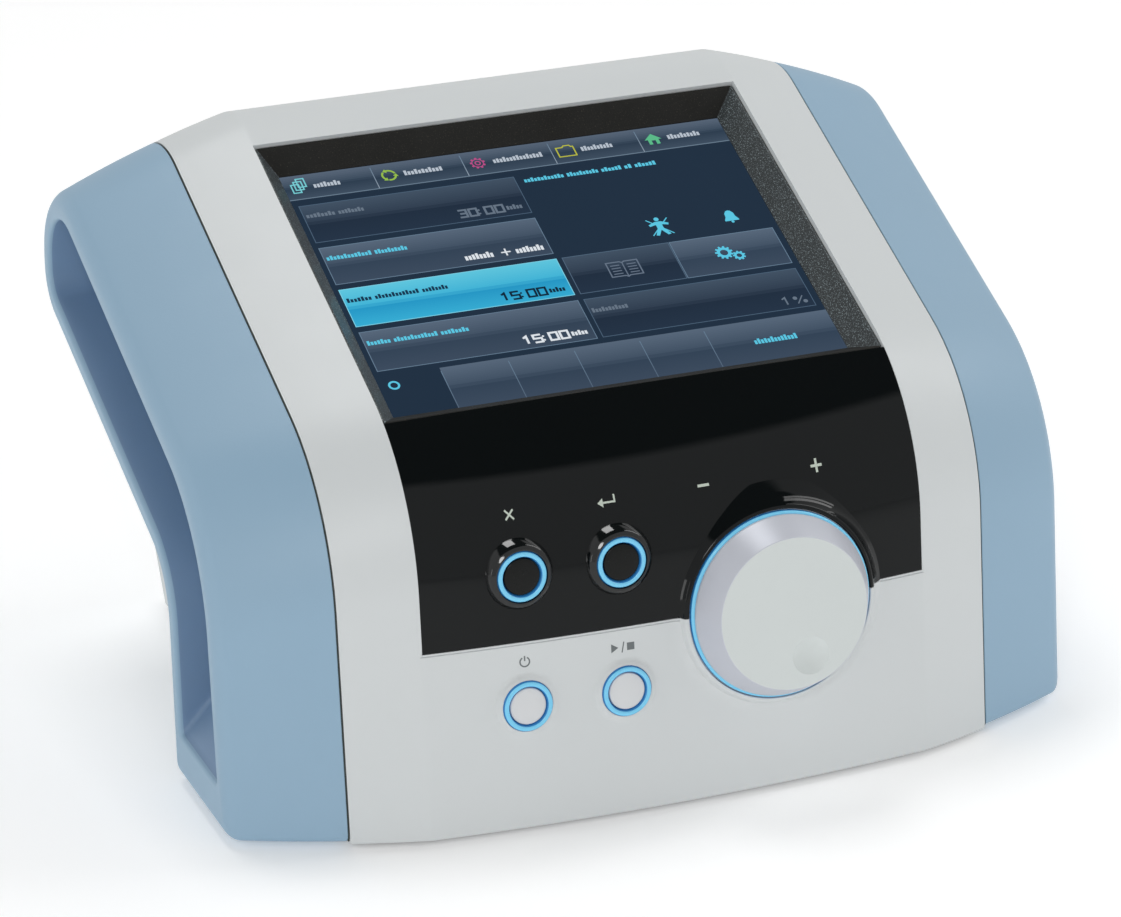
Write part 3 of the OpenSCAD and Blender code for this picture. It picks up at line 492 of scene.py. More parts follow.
class Slabs:
    """Thin closed shapes laid on a surface: filled outlines and strips, each with a colour."""

    def __init__(self, place, low, high):
        self.place, self.low, self.high = place, low, high
        self.pts, self.faces, self.colors = [], [], []

    def add_face(self, f, color):
        self.faces.append(f)
        self.colors.append(color)

    def fill(self, outline, color=(1, 1, 1), lift=0.0):
        area = sum(a[0] * b[1] - b[0] * a[1] for a, b in zip(outline, outline[1:] + outline[:1]))
        if area < 0:
            outline = outline[::-1]
        n, base = len(outline), len(self.pts)
        self.pts += [self.place(u, v, self.high + lift) for u, v in outline]
        self.pts += [self.place(u, v, self.low) for u, v in outline]
        self.add_face(tuple(range(base, base + n)), color)
        self.add_face(tuple(range(base + 2 * n - 1, base + n - 1, -1)), color)
        for i in range(n):
            k = (i + 1) % n
            self.add_face((base + i, base + n + i, base + n + k, base + k), color)

    def strip(self, left, right, color=(1, 1, 1), closed=False, lift=0.0):
        """left and right are on the left and right side of the way the strip runs."""
        n, base = len(left), len(self.pts)
        for side in (left, right):
            self.pts += [self.place(u, v, self.high + lift) for u, v in side]
        for side in (left, right):
            self.pts += [self.place(u, v, self.low) for u, v in side]
        lt, rt, lb, rb = (base + k * n for k in range(4))
        for i in range(n if closed else n - 1):
            k = (i + 1) % n
            self.add_face((lt + i, rt + i, rt + k, lt + k), color)
            self.add_face((lb + i, lb + k, rb + k, rb + i), color)
            self.add_face((lt + i, lt + k, lb + k, lb + i), color)
            self.add_face((rt + i, rb + i, rb + k, rt + k), color)
        if not closed:
            self.add_face((lt, lb, rb, rt), color)
            e = n - 1
            self.add_face((lt + e, rt + e, rb + e, lb + e), color)

    def line(self, path, width, color=(1, 1, 1), closed=False, lift=0.0):
        """A stroke along a path, with mitred corners."""
        p = [np.array(q, float) for q in path]
        n = len(p)
        left, right = [], []
        for i in range(n):
            a = p[i - 1] if i or closed else None
            b = p[(i + 1) % n] if i < n - 1 or closed else None
            u = (p[i] - a) / np.linalg.norm(p[i] - a) if a is not None else None
            v = (b - p[i]) / np.linalg.norm(b - p[i]) if b is not None else None
            u, v = (v if u is None else u), (u if v is None else v)
            nu, nv = np.array([-u[1], u[0]]), np.array([-v[1], v[0]])
            m = nu + nv
            m = m / max(float(m @ nu), MITRE_MIN)
            left.append(tuple(p[i] + m * width / 2))
            right.append(tuple(p[i] - m * width / 2))
        self.strip(left, right, color, closed, lift)

    def circle(self, cx, cy, r, color=(1, 1, 1), n=32, lift=0.0):
        self.fill([(cx + r * c, cy + r * s) for c, s in circle_points(n)], color, lift)

    def arc(self, cx, cy, r, a0, a1, width, color=(1, 1, 1), n=28, lift=0.0):
        full = abs(a1 - a0) >= 360
        ts = [a0 + (a1 - a0) * k / n for k in range(n if full else n + 1)]
        self.line([(cx + r * cosd(t), cy + r * sind(t)) for t in ts], width, color, full, lift)

    def build(self, name, mat, slot, attribute=None, **kw):
        o = add_object(name, (self.pts, self.faces), mat, slot, smooth=False, **kw)
        if attribute:
            me = o.data
            att = me.color_attributes.new(attribute, "FLOAT_COLOR", "CORNER")
            cols = []
            for poly, c in zip(me.polygons, self.colors):
                cols += [*c, 1.0] * len(poly.vertices)
            att.data.foreach_set("color", cols)
        return o


# ---------------- front skin
def spaced(breaks, pitches):
    """Stations between breaks, spaced by about the pitch of each part."""
    out = []
    for a, b, pitch in zip(breaks, breaks[1:], pitches):
        n = max(1, round((b - a) / pitch))
        out += [a + (b - a) * k / n for k in range(n)]
    return out + [breaks[-1]]


# raised places on the white cover: x, z, height, plateau radius, foot radius, power of the slope
BUMPS = [(x, BUTTON_Z[0], BUTTON_RISE, 9.9, 11.2, 1.0) for x in BUTTON_X] \
    + [(KNOB_X, KNOB_Z, 1.3, 37.0, 40.6, 2.2)]
# holes: x, z, radius, height of the edge (none: the skin's own height)
HOLES = [(x, BUTTON_Z[0], RING_R + 0.1, BUTTON_RISE) for x in BUTTON_X] \
    + [(x, BUTTON_Z[1], 11.2, None) for x in BUTTON_X] + [(KNOB_X, KNOB_Z, 35.8, None)]


def skin_grid(xs, rows):
    """The skin's points over stations xs and rows (anchor, fraction, offset, depth)."""
    g = np.zeros((len(xs), len(rows), 3))
    for i, x in enumerate(xs):
        line = skin_line(x)
        for j, (k, t, off, _) in enumerate(rows):
            a = line.anchors[k]
            p = line.at(a + (line.anchors[min(k + 1, 4)] - a) * t + off)
            g[i, j] = (x, p[0], p[1])
    return g


def raise_places(g, bumps):
    for cx, cz, height, r1, r2, power in bumps:
        rel = g - face_point(cx, cz)
        h = rel @ FACE_OUT
        rho = np.hypot(rel[..., 0], rel @ FACE_UP)
        w = np.clip((r2 - rho) / (r2 - r1), 0, 1)
        w = np.where(np.abs(h) > REACH, 0, w ** power)
        w = w * (1 - FLARE * (1 - w) * w)
        g += (w * (height - h))[..., None] * FACE_OUT


def open_holes(g, depth):
    """Draws points onto the edges of holes. Returns the points inside holes and those on edges."""
    gone, snapped = np.zeros((2, *g.shape[:2]), bool)
    for cx, cz, r, height in HOLES:
        o = face_point(cx, cz)
        rel = g - o
        a, b = rel[..., 0], rel @ FACE_UP
        rho = np.hypot(a, b)
        inside = (rho < r + SNAP) & (np.abs(rel @ FACE_OUT) < REACH)
        pad = np.pad(~inside, 1, constant_values=False)
        near = pad[:-2, 1:-1] | pad[2:, 1:-1] | pad[1:-1, :-2] | pad[1:-1, 2:]
        edge = inside & near
        for i, j in zip(*np.nonzero(edge)):
            f = r / rho[i, j]
            h = rel[i, j] @ FACE_OUT if height is None else height - depth[i, j]
            g[i, j] = o + a[i, j] * f * X_AXIS + b[i, j] * f * FACE_UP + h * FACE_OUT
        snapped |= edge
        gone |= inside & ~edge
    return gone, snapped


def skin_patch(xs, rows, keep, bumps):
    """Points and faces of the skin, with the raised places and round holes of the controls.
    keep(x0, x1, row) says which cells stay."""
    g = skin_grid(xs, rows)
    raise_places(g, bumps)
    depth = np.array([row[3] for row in rows]) * (np.abs(xs) < APERTURE_HALF + 0.01)[:, None]
    g -= depth[..., None] * FACE_OUT
    gone, snapped = open_holes(g, depth)
    index, pts, faces = {}, [], []

    def vertex(i, j):
        if (i, j) not in index:
            index[i, j] = len(pts)
            pts.append(g[i, j])
        return index[i, j]

    for i in range(len(xs) - 1):
        for j in range(len(rows) - 1):
            quad = [(i, j), (i + 1, j), (i + 1, j + 1), (i, j + 1)]
            left = [q for q in quad if not gone[q]]
            if keep(xs[i], xs[i + 1], rows[j]) and len(left) > 2 and not all(snapped[q] for q in left):
                faces.append(tuple(vertex(*q) for q in left))
    return pts, faces


def solidify(o):
    s = o.modifiers.new("wall", "SOLIDIFY")
    s.thickness, s.offset, s.use_even_offset = WALL / 1000, -1, False


def steps(n, skip=0):
    return [k / n for k in range(skip, n)]


# rows: anchor, part of the way to the next anchor, offset in mm, depth. The last ones of the
# control face are the groove under the panel.
face_rows = [(0, 0, 0.0, 0)] + [(0, 0, z, 0) for z in np.arange(1.2, 24, 2.4)] \
    + [(1, 0, -z, 0) for z in np.arange(42.4, 1.25, -0.85)] \
    + [(1, 0, -1.05, 0), (1, 0, -0.98, 0.45), (1, 0, -0.63, 0.45), (1, 0, -0.56, 0),
       (1, 0, -0.1, 0), (1, 0, 0, 0.1)]
front_rows = face_rows + [(1, t, 0, 0) for t in steps(28, 1)] + [(2, t, 0, 0) for t in steps(24)] \
    + [(3, t, 0, 0) for t in steps(44)] + [(4, 0, 0, 0)]
front_xs = spaced([-COVER_HALF, -97, -APERTURE_HALF, -76, 82, APERTURE_HALF, 97, COVER_HALF],
                  [1.8, 0.8, 1.5, 0.8, 1.5, 0.8, 1.8])


def outside_openings(x0, x1, row):
    """False where the panel (rows after the groove) or the screen (anchor 2) takes the skin's place."""
    across = abs(x0 + x1) / 2 < APERTURE_HALF
    return not (across and (row[0] == 2 or (row[0] == 1 and row[2] >= 0)))


front = add_object("front_cover_shell", skin_patch(front_xs, front_rows, outside_openings, BUMPS),
                   M["white"], "white_plastic", replaces=["front_cover"])
solidify(front)
bevel(front, 0.3)

KNEE_PART = 0.585  # beyond it the panel's rows are parts of the way, not mm
panel_rows = [(1, 0, 0.15, 0.1), (1, 0, 0.3, 0)] + [(1, 0, z, 0) for z in np.arange(1.0, 46, 0.85)] \
    + [(1, t, 0, 0) for t in steps(90) if t > KNEE_PART] + [(2, 0, 0, 0)]
panel_xs = spaced([-93.75, -76, 82, 93.75], [1.5, 0.8, 1.5])
panel = add_object("control_panel_gloss", skin_patch(panel_xs, panel_rows, lambda *a: True, []),
                   M["panel"], "gloss_panel", replaces=["control_panel"])
solidify(panel)
bevel(panel, 0.25)

KNOB = on_face(KNOB_X, KNOB_Z)
BOSS = [(BOSS_IN, BOSS_LOW), *fillet([(BOSS_IN, 1.65, 0), (9.35, BOSS_TOP, 0.12), (9.9, BOSS_TOP, 0.5),
                                      (11.1, 1.3, 1.6), (12.0, 0, 0)], 4), (13.2, BOSS_LOW)]
for name, x in zip(("esc", "enter"), BUTTON_X):
    boss = lathe(BOSS, on_face(x, BUTTON_Z[1]), 96, closed=True)
    add_object(name + "_boss", boss, M["boss"], "gloss_panel", sharp=45)
COLLAR = [*fillet([(COLLAR_IN, 3.15, 0), (34.45, COLLAR_TOP, 0.15), (35.6, COLLAR_TOP, 1.4),
                   (37.5, 0, 0)], 6), (39.4, -1.5), (43.0, COLLAR_LOW), (COLLAR_IN, COLLAR_LOW)]
# the collar is black on the panel and white on the cover, with the groove's gap between
for name, a0, a1, mat, slot_name in (("upper", 0.55, 179.45, M["panel"], "gloss_panel"),
                                     ("lower", 179.9, 360.1, M["white"], "white_plastic")):
    add_object(f"knob_collar_{name}", half_lathe(COLLAR, KNOB, a0, a1), mat, slot_name, sharp=45)


# ---------------- side covers
def band(x, d, z_foot):
    """The side cover's outline at station x, moved inward by d, corners rounded, closed."""
    out = inward(FACE_ANGLE) * d
    face = np.array([FACE_Y + back(x), 0]) + out
    desk = np.array([DESK_Y, DESK_Z - drop(x)]) + inward(DESK_ANGLE) * d
    under = np.array([UNDER_Y, UNDER_Z]) - inward(UNDER_ANGLE) * d
    leg = np.array([LEG_Y, 0]) - inward(LEG_ANGLE) * d
    foot = meet(face, FACE_ANGLE, [0, z_foot], 0)
    knee = meet(face, FACE_ANGLE, desk, DESK_ANGLE)
    top = meet(desk, DESK_ANGLE, [rear_at(x) - d, 0], 90)
    tip = meet(under, UNDER_ANGLE, [rear_at(x) - d, 0], 90)
    crook = meet(under, UNDER_ANGLE, leg, LEG_ANGLE)
    heel = meet(leg, LEG_ANGLE, [0, z_foot], 0)
    corners = [foot, knee, top, tip, crook, heel]
    radii = [2.5, KNEE_R - d, roll_at(x) - d, UNDER_TIP_R - d, UNDER_KNEE_R + d, 2.5]
    counts = [4, 40, 24, 16, 18, 4]
    spans = [16, 20, 12, 20, 14, 10]
    arcs = [corner_arc(corners[i - 1], corners[i], corners[(i + 1) % 6], radii[i], counts[i])
            for i in range(6)]
    line = []
    for i in range(6):
        line += arcs[i]
        a, b = arcs[i][-1], arcs[(i + 1) % 6][0]
        line += [a + (b - a) * k / spans[i] for k in range(1, spans[i])]
    return [np.array([x, p[0], p[1]]) for p in line]


def pocket(x, d, slope):
    """The pocket's outline at station x, d wider than at the rim, its lower end raised by slope."""
    return [np.array([x, q[1], q[2]]) for q in band(HALF_W, POCKET_RIM - d, POCKET_FLOOR - d + slope)]


LIP, BOTTOM_R = 1.6, 2.0
RAMP = 0.9 * POCKET_DEPTH  # how far the pocket's lower end rises on its way in
SEAM_CHAMFER = 0.25
side_rings = [band(SIDE_IN, SEAM_CHAMFER, SEAM_CHAMFER), band(SIDE_IN + SEAM_CHAMFER, 0, 0)]
side_rings += [band(x, 0, 0) for x in spaced([SIDE_IN, HALF_W - EDGE_R], [1.9])[1:]]
for a in np.arange(11.25, 90.1, 11.25):
    d = EDGE_R * (1 - cosd(a))
    side_rings.append(band(HALF_W - EDGE_R + EDGE_R * sind(a), d, d))
side_rings[-1] = [np.array([HALF_W, q[1], q[2]]) for q in side_rings[-1]]
for a in np.arange(0, 90.1, 22.5):
    side_rings.append(pocket(HALF_W - LIP * (1 - cosd(a)), LIP * (1 - sind(a)), 0))
wall_start = len(side_rings) - 1
for t in np.linspace(0, 1, 14)[1:]:
    side_rings.append(pocket(HALF_W - LIP - (POCKET_DEPTH - LIP - BOTTOM_R) * t, 0, RAMP * t))
for a in (30, 60, 90):
    side_rings.append(pocket(HALF_W - POCKET_DEPTH + BOTTOM_R * (1 - sind(a)),
                             -BOTTOM_R * (1 - cosd(a)), RAMP))
for name, mirrored in (("right_side_cover", False), ("left_side_cover", True)):
    rings = side_rings
    if mirrored:
        rings = [[p * np.array([-1, 1, 1]) for p in r][::-1] for r in side_rings]
    # the pocket's walls take the darker blue, painted shade of the recess
    walls = band_mats(len(rings) - 1, len(rings[0]), range(wall_start, len(rings) - 1)) + [0, 0]
    add_object(name + "_moulding", loft(rings), [M["blue"], M["blue_painted_shade"]], "blue_plastic",
               replaces=[name], sharp=50, face_mat=walls)

# ---------------- display bezel
RIM_W, BEZEL_BACK = -1.2, -9.5  # front and back of the bezel, from the desk plane
BEZEL_HALF, BEZEL_TOP, BEZEL_LOW = APERTURE_HALF - 0.4, APERTURE_TOP - 0.4, APERTURE_LOW - 0.3
VW, VH = SCREEN_W / 2, SCREEN_H / 2
CORNER_STEPS = 5
# the lower and the top wall take the darker black, painted shade
LONG_WALLS = (3, 4, 5, 6, 7, 15, 16, 17, 18, 19)  # faces of a ring on the lower and the top wall


def frame_ring(half, top, low, w, r):
    """A rounded rectangle in the desk frame, from its half width, top and lower edge."""
    out = []
    for cx, cy, a0 in ((half - r, top - r, 0), (r - half, top - r, 90),
                       (r - half, r - low, 180), (half - r, r - low, 270)):
        for k in range(CORNER_STEPS + 1):
            a = a0 + 90 * k / CORNER_STEPS
            out.append(on_desk(cx + r * cosd(a), cy + r * sind(a), w))
    return out


def rim_ring(inset, w, r):
    return frame_ring(BEZEL_HALF - inset, BEZEL_TOP - inset, BEZEL_LOW - inset, w, r)


def wall_ring(t):
    """A ring of the sloped wall, from the rim at t = 0 to the screen at t = 1."""
    half, top, low = ((outer - 1.1) * (1 - t) + (inner + 0.1) * t
                      for outer, inner in ((BEZEL_HALF, VW), (BEZEL_TOP, VH), (BEZEL_LOW, VH)))
    return frame_ring(half, top, low, RIM_W - 0.3 + (1.5 - SCREEN_DEPTH) * t, 0.35)


# the rim: inset, height, corner radius
bezel_rings = [rim_ring(*row) for row in (
    (0, BEZEL_BACK, 1.6), (0, RIM_W - 0.35, 1.6), (0.1, RIM_W - 0.1, 1.5), (0.35, RIM_W, 1.3),
    (0.7, RIM_W, 0.9), (0.9, RIM_W - 0.08, 0.6), (1.05, RIM_W - 0.24, 0.45))]
bezel_rings += [wall_ring(t) for t in np.linspace(0, 1, 9)[1:]]
bezel_rings += [frame_ring(VW, VH, VH, -SCREEN_DEPTH - 0.1, 0.3),
                frame_ring(VW, VH, VH, -SCREEN_DEPTH - 0.5, 0.3),
                frame_ring(VW + 4, VH + 4, VH + 4, -SCREEN_DEPTH - 0.5, 0.3)]
bezel = loft([r[::-1] for r in bezel_rings + [bezel_rings[0]]], caps=False)
# material 1, the darker black, is painted shade on the long walls
wall_mats = [1 if i in LONG_WALLS else 0 for _ in bezel_rings for i in range(len(bezel_rings[0]))]
add_object("display_bezel_frame", bezel, [M["bezel"], M["bezel_painted_shade"]], "black_plastic",
           replaces=["display_bezel"], sharp=38, face_mat=wall_mats)

# ---------------- screen picture
# The helpers here take y measured down from the screen's top; the calls of picture take it upwards.
picture = Slabs(lambda u, v, w: on_desk(u - VW, v - VH, w), GLASS_W - 0.02, GLASS_W + 0.06)
STRIPE, BORDER = 0.9, 0.28  # height of a gradient's stripe, width of a box's border
INK = 0.07  # how high symbols lie above the ground colour
HALF_RULE = 0.15  # half the thickness of the lines between boxes


def col(r, g, b):
    return srgb(r, g, b)[:3]


def flip(points):
    """Points measured down from the screen's top, as points measured up from its bottom."""
    return [(x, SCREEN_H - y) for x, y in points]


def shape(points, c):
    picture.fill(flip(points), c, INK)


def stroke(points, width, c, closed=False, raised=0.0):
    picture.line(flip(points), width, c, closed, INK + raised)


def dot(x, y, r, c, n):
    picture.circle(x, SCREEN_H - y, r, c, n, INK)


def gradient_box(x0, y0, x1, y1, stops, border=None, lift=0.03):
    """A box whose colour changes from its top to its bottom."""
    levels = [(y0 + (y1 - y0) * at, color) for at, color in stops]
    for (ya, ca), (yb, cb) in zip(levels, levels[1:]):
        n = max(1, int((yb - ya) / STRIPE))
        for k in range(n):
            a, b = ya + (yb - ya) * k / n, ya + (yb - ya) * (k + 1) / n
            f = (k + 0.5) / n
            c = tuple(p + (q - p) * f for p, q in zip(ca, cb))
            picture.fill(flip([(x0, b), (x1, b), (x1, a), (x0, a)]), c, lift)
    if border:
        e = BORDER / 2
        path = flip([(x0 + e, y1 - e), (x1 - e, y1 - e), (x1 - e, y0 + e), (x0 + e, y0 + e)])
        picture.line(path, BORDER, border, closed=True, lift=lift + 0.02)


def rule(x, y0, y1, low_color):
    """A thin upright line that parts two boxes."""
    gradient_box(x - HALF_RULE, y0, x + HALF_RULE, y1, [(0, EDGE), (1, low_color)], lift=0.05)


def cell(fold, *colors):
    """Stops of a glossy box, which darkens quickly below its fold."""
    return list(zip((0, fold, fold + 0.08, 1), (col(*c) for c in colors)))


GREY_CELL = cell(0.44, (88, 104, 123), (66, 82, 101), (51, 67, 86), (60, 75, 94))
DIM_CELL = cell(0.44, (66, 82, 100), (48, 62, 80), (32, 46, 64), (36, 51, 70))
LIT_CELL = cell(0.46, (96, 200, 224), (66, 182, 217), (36, 152, 199), (54, 174, 213))
TAB_CELL = cell(0.46, (88, 102, 120), (60, 76, 94), (44, 60, 78), (62, 78, 96))
EDGE, DIM_EDGE = col(104, 128, 150), col(78, 100, 122)
TEXT, DIM, BRIGHT, DEEP = col(186, 196, 208), col(104, 118, 134), col(226, 232, 238), col(14, 38, 58)
CYAN, TEAL, GREEN, PINK = col(92, 200, 228), col(120, 206, 214), col(150, 190, 74), col(190, 78, 138)
YELLOW, LEAF, BOOK = col(188, 190, 62), col(92, 188, 138), col(104, 118, 136)

picture.fill([(0, 0), (SCREEN_W, 0), (SCREEN_W, SCREEN_H), (0, SCREEN_H)], col(32, 48, 66))
TABS, TAB_H = [0, 34.4, 68.9, 103.3, 137.7, SCREEN_W], 12.5
for a, b in zip(TABS, TABS[1:]):
    gradient_box(a, 0, b, TAB_H, TAB_CELL)
for a in TABS[1:-1]:
    rule(a, 1.2, TAB_H, col(150, 165, 180))
gradient_box(0, TAB_H, SCREEN_W, TAB_H + 0.4, [(0, col(120, 140, 158)), (1, col(90, 110, 130))], lift=0.05)
for box in ((2.2, 16.2, 84.8, 36.2, DIM_CELL, DIM_EDGE), (2.2, 39.0, 84.8, 58.7, GREY_CELL, EDGE),
            (2.2, 61.4, 84.8, 81.0, LIT_CELL, col(130, 214, 236)), (2.2, 83.8, 84.8, 104.2, GREY_CELL, EDGE),
            (86.8, 61.4, 128.1, 81.0, DIM_CELL, col(84, 106, 128)),
            (128.3, 61.4, 169.2, 81.0, GREY_CELL, EDGE), (86.8, 83.8, 169.2, 104.0, DIM_CELL, DIM_EDGE),
            (24.3, 106.8, SCREEN_W, SCREEN_H, GREY_CELL)):
    gradient_box(*box)
for a in (24.3, 49.4, 74.2, 99.0, 123.6):
    rule(a, 108.5, SCREEN_H, col(88, 106, 126))

BLOCK_HEIGHTS = (1.0, 0.72, 0.72, 1.0, 0.72, 0.86, 0.72, 1.0, 0.72, 0.72, 0.86)
BLOCK_PITCH, BLOCK_PART, BLOCK_RISE, WORD_GAP = 1.3, 0.74, 1.485, 1.1


def words(x, y, widths, c, h=1.5):
    """Rows of small blocks that stand where words would be. y is their middle."""
    full = h * BLOCK_RISE
    low = y + full / 2
    for w in widths:
        n = max(1, round(w / BLOCK_PITCH))
        for k in range(n):
            x0 = x + w * k / n
            x1 = x0 + BLOCK_PART * w / n
            top = low - full * BLOCK_HEIGHTS[(k + n) % len(BLOCK_HEIGHTS)]
            shape([(x0, low), (x1, low), (x1, top), (x0, top)], c)
        x += w + WORD_GAP


# strokes of a digit in a box one wide and one high: path, closed
DIGITS = {
    "0": [([(0, 0), (1, 0), (1, 1), (0, 1)], True)],
    "1": [([(0.1, 0.22), (0.55, 0), (0.55, 1)], False)],
    "3": [([(0, 0), (1, 0), (1, 1), (0, 1)], False), ([(0.15, 0.5), (1, 0.5)], False)],
    "5": [([(1, 0), (0, 0), (0, 0.48), (1, 0.48), (1, 1), (0, 1)], False)],
}
DIGIT_W, DIGIT_H, DIGIT_GAP = 2.9, 3.7, 1.15


def number(right, y, text, c, thickness=0.85):
    """Digits and colons that end at right; y is their top."""
    x = right
    for ch in reversed(text):
        if ch == ":":
            x -= 1.5
            for down in (1.1, 3.0):
                dot(x + 0.3, y + down, 0.42, c, 12)
            x -= 0.5
        else:
            x -= DIGIT_W
            for k, (path, closed) in enumerate(DIGITS[ch]):
                stroke([(x + DIGIT_W * a, y + DIGIT_H * b) for a, b in path], thickness, c, closed, 0.01 * k)
            x -= DIGIT_GAP


for x, width in ((11.2, 10.3), (45.8, 14.9), (80.3, 19.4), (114.8, 12.5), (149.1, 12.9)):
    words(x, 6.4, [width], TEXT, 1.7)
for line in ((3.4, 21.8, [11.0, 9.8], DIM), (3.4, 44.8, [17.0, 12.4], CYAN),
             (3.4, 67.4, [9.4, 16.6, 9.8], col(20, 52, 78)), (3.4, 89.8, [8.8, 16.4, 10.6], CYAN),
             (87.9, 19.0, [15.6, 12.4, 8.0, 3.0, 8.4], CYAN, 1.4), (87.9, 90.0, [13.8], DIM),
             (52.4, 54.4, [11.0], BRIGHT, 2.0), (71.8, 54.4, [10.8], BRIGHT, 2.0),
             (139.6, 117.4, [16.6], CYAN, 1.8)):
    words(*line)
for y, text, c in ((29.9, "30:00", DIM), (75.0, "15:00", DEEP), (97.9, "15:00", BRIGHT)):
    number(75.2, y, text, c)
    words(76.4, y + 1.9, [6.2], c, 1.6)
# plus sign
stroke([(66.2, 54.4), (69.8, 54.4)], 0.6, BRIGHT)
stroke([(68.0, 52.6), (68.0, 56.2)], 0.6, BRIGHT, raised=0.01)
# one percent
number(160.4, 97.9, "1", DIM, 0.6)
dot(162.8, 98.9, 0.85, DIM, 16)
dot(166.2, 101.0, 0.85, DIM, 16)
stroke([(165.9, 98.0), (163.1, 101.8)], 0.45, DIM)
# plain ring at the lower left
picture.arc(5.8, SCREEN_H - 111.9, 1.75, 0, 360, 0.75, CYAN, 24, INK)
# tab signs: stacked sheets, three arrows in a circle, a cog, a folder, a house
for k in range(3):
    x, y = 3.0 + 1.3 * k, 9.2 - 1.4 * k
    stroke([(x, y), (x + 2.9, y), (x + 2.9, y - 4.4), (x, y - 4.4)], 0.5, TEAL, True, 0.01 * k)
ARROWS_X, ARROWS_Y, ARROWS_R, ARROW_SWEEP = 40.0, SCREEN_H - 6.5, 2.5, 88
for a in (15, 135, 255):
    end = a + ARROW_SWEEP
    picture.arc(ARROWS_X, ARROWS_Y, ARROWS_R, a, end, 0.75, GREEN, 14, INK)
    ux, uy = cosd(end), sind(end)
    px, py = ARROWS_X + ARROWS_R * ux, ARROWS_Y + ARROWS_R * uy
    picture.fill([(px + ux, py + uy), (px - ux, py - uy), (px - 1.3 * uy, py + 1.3 * ux)], GREEN, INK + 0.01)


def cog(x, y, r, teeth, hole, c):
    n = teeth * 8
    left, right = [], []
    for k, (ux, uy) in enumerate(circle_points(n)):
        f = r * (1.0 if k % 8 in (1, 2, 3, 4) else 0.78)
        left.append((x + hole * ux, SCREEN_H - y + hole * uy))
        right.append((x + f * ux, SCREEN_H - y + f * uy))
    picture.strip(left, right, c, True, INK)


cog(74.3, 6.5, 2.9, 9, 1.95, PINK)
picture.arc(74.3, SCREEN_H - 6.5, 0.95, 0, 360, 0.45, PINK, 20, INK)
stroke([(105.5, 4.4), (108.0, 4.4), (108.7, 3.6), (111.0, 3.6), (111.4, 4.4), (112.2, 4.4),
        (112.2, 9.3), (105.5, 9.3)], 0.5, YELLOW, True)
shape([(143.3, 3.6), (146.6, 6.7), (145.4, 6.7), (145.4, 9.3), (144.1, 9.3), (144.1, 7.2),
       (142.5, 7.2), (142.5, 9.3), (141.2, 9.3), (141.2, 6.7), (140.0, 6.7)], LEAF)
# figure with crossed lines
dot(128.3, 48.7, 0.95, CYAN, 18)
shape([(127.2, 50.0), (129.4, 50.0), (132.2, 51.3), (131.8, 52.2), (129.4, 51.5), (129.5, 53.6),
       (131.2, 57.0), (130.0, 57.3), (128.3, 54.4), (126.6, 57.3), (125.4, 57.0), (127.1, 53.6),
       (127.2, 51.5), (124.8, 52.2), (124.4, 51.3)], CYAN)
stroke([(124.2, 48.6), (132.4, 57.0)], 0.38, CYAN, raised=0.01)
stroke([(132.4, 48.6), (124.2, 57.0)], 0.38, CYAN, raised=0.02)
# bell
shape([(156.0, 49.4), (156.9, 49.7), (157.7, 50.9), (157.9, 52.8), (158.7, 54.3), (158.7, 54.9),
       (153.3, 54.9), (153.3, 54.3), (154.1, 52.8), (154.3, 50.9), (155.1, 49.7)], CYAN)
dot(156.0, 55.5, 0.55, CYAN, 12)
# open book
stroke([(101.4, 67.6), (106.6, 67.6), (107.5, 68.2), (108.4, 67.6), (113.4, 67.6), (113.4, 75.0),
        (108.4, 75.0), (107.5, 75.6), (106.6, 75.0), (101.4, 75.0)], 0.5, BOOK, True)
stroke([(107.5, 68.5), (107.5, 75.3)], 0.4, BOOK, raised=0.01)
for k in range(4):
    for x in (102.6, 108.9):
        stroke([(x, 69.3 + 1.45 * k), (x + 3.5, 69.3 + 1.45 * k)], 0.42, BOOK)
cog(146.4, 70.7, 3.4, 11, 1.5, CYAN)
cog(151.4, 73.2, 2.4, 9, 1.0, CYAN)
picture.build("screen_picture", M["lcd"], "screen_glass", attribute="shade")


# ---------------- buttons, rings, knob
CAP_TOP, CAP_DOME, CAP_FLANGE = 1.55, 0.35, -5.8
# from the axis at the top, over the crown, down to the flange and the stem
CROWN_PTS = [(CAP_R * f, CAP_TOP + CAP_DOME * (1 - f * f)) for f in (0, 0.2, 0.4, 0.6, 0.75, 0.87)]
CAP = [*CROWN_PTS[:-1],
       *fillet([(*CROWN_PTS[-1], 0), (CAP_R, CAP_TOP - 0.05, 0.55), (CAP_R, CAP_FLANGE, 0)]),
       (8.4, CAP_FLANGE), (8.4, -7.4), (5.2, -7.4), (5.2, -6.2), (2.0, -6.2), (2.0, -9.0), (0, -9.0)]
for row, keys, color, slot_name in ((1, ("esc", "enter"), "cap_black", "gloss_key"),
                                    (0, ("power", "start"), "cap_white", "white_key")):
    for key, x in zip(keys, BUTTON_X):
        add_object(key + "_button_cap", lathe(CAP, on_face(x, BUTTON_Z[row]), 72), M[color], slot_name,
                   body=key + "_key", replaces=[key + "_button"], sharp=45)

RING_SEGMENTS, KNOB_SEGMENTS = 96, 160
ring_profile = [(6.95, -5.4), (6.95, 1.2), (7.05, 1.65), (7.3, 1.98), (7.7, 2.17), (8.1, 2.22), (8.5, 2.13),
                (8.82, 1.9), (9.03, 1.5), (9.1, 1.0), (9.1, 0.4), (RING_R, -3.9), (10.6, -3.9), (10.6, -5.4)]
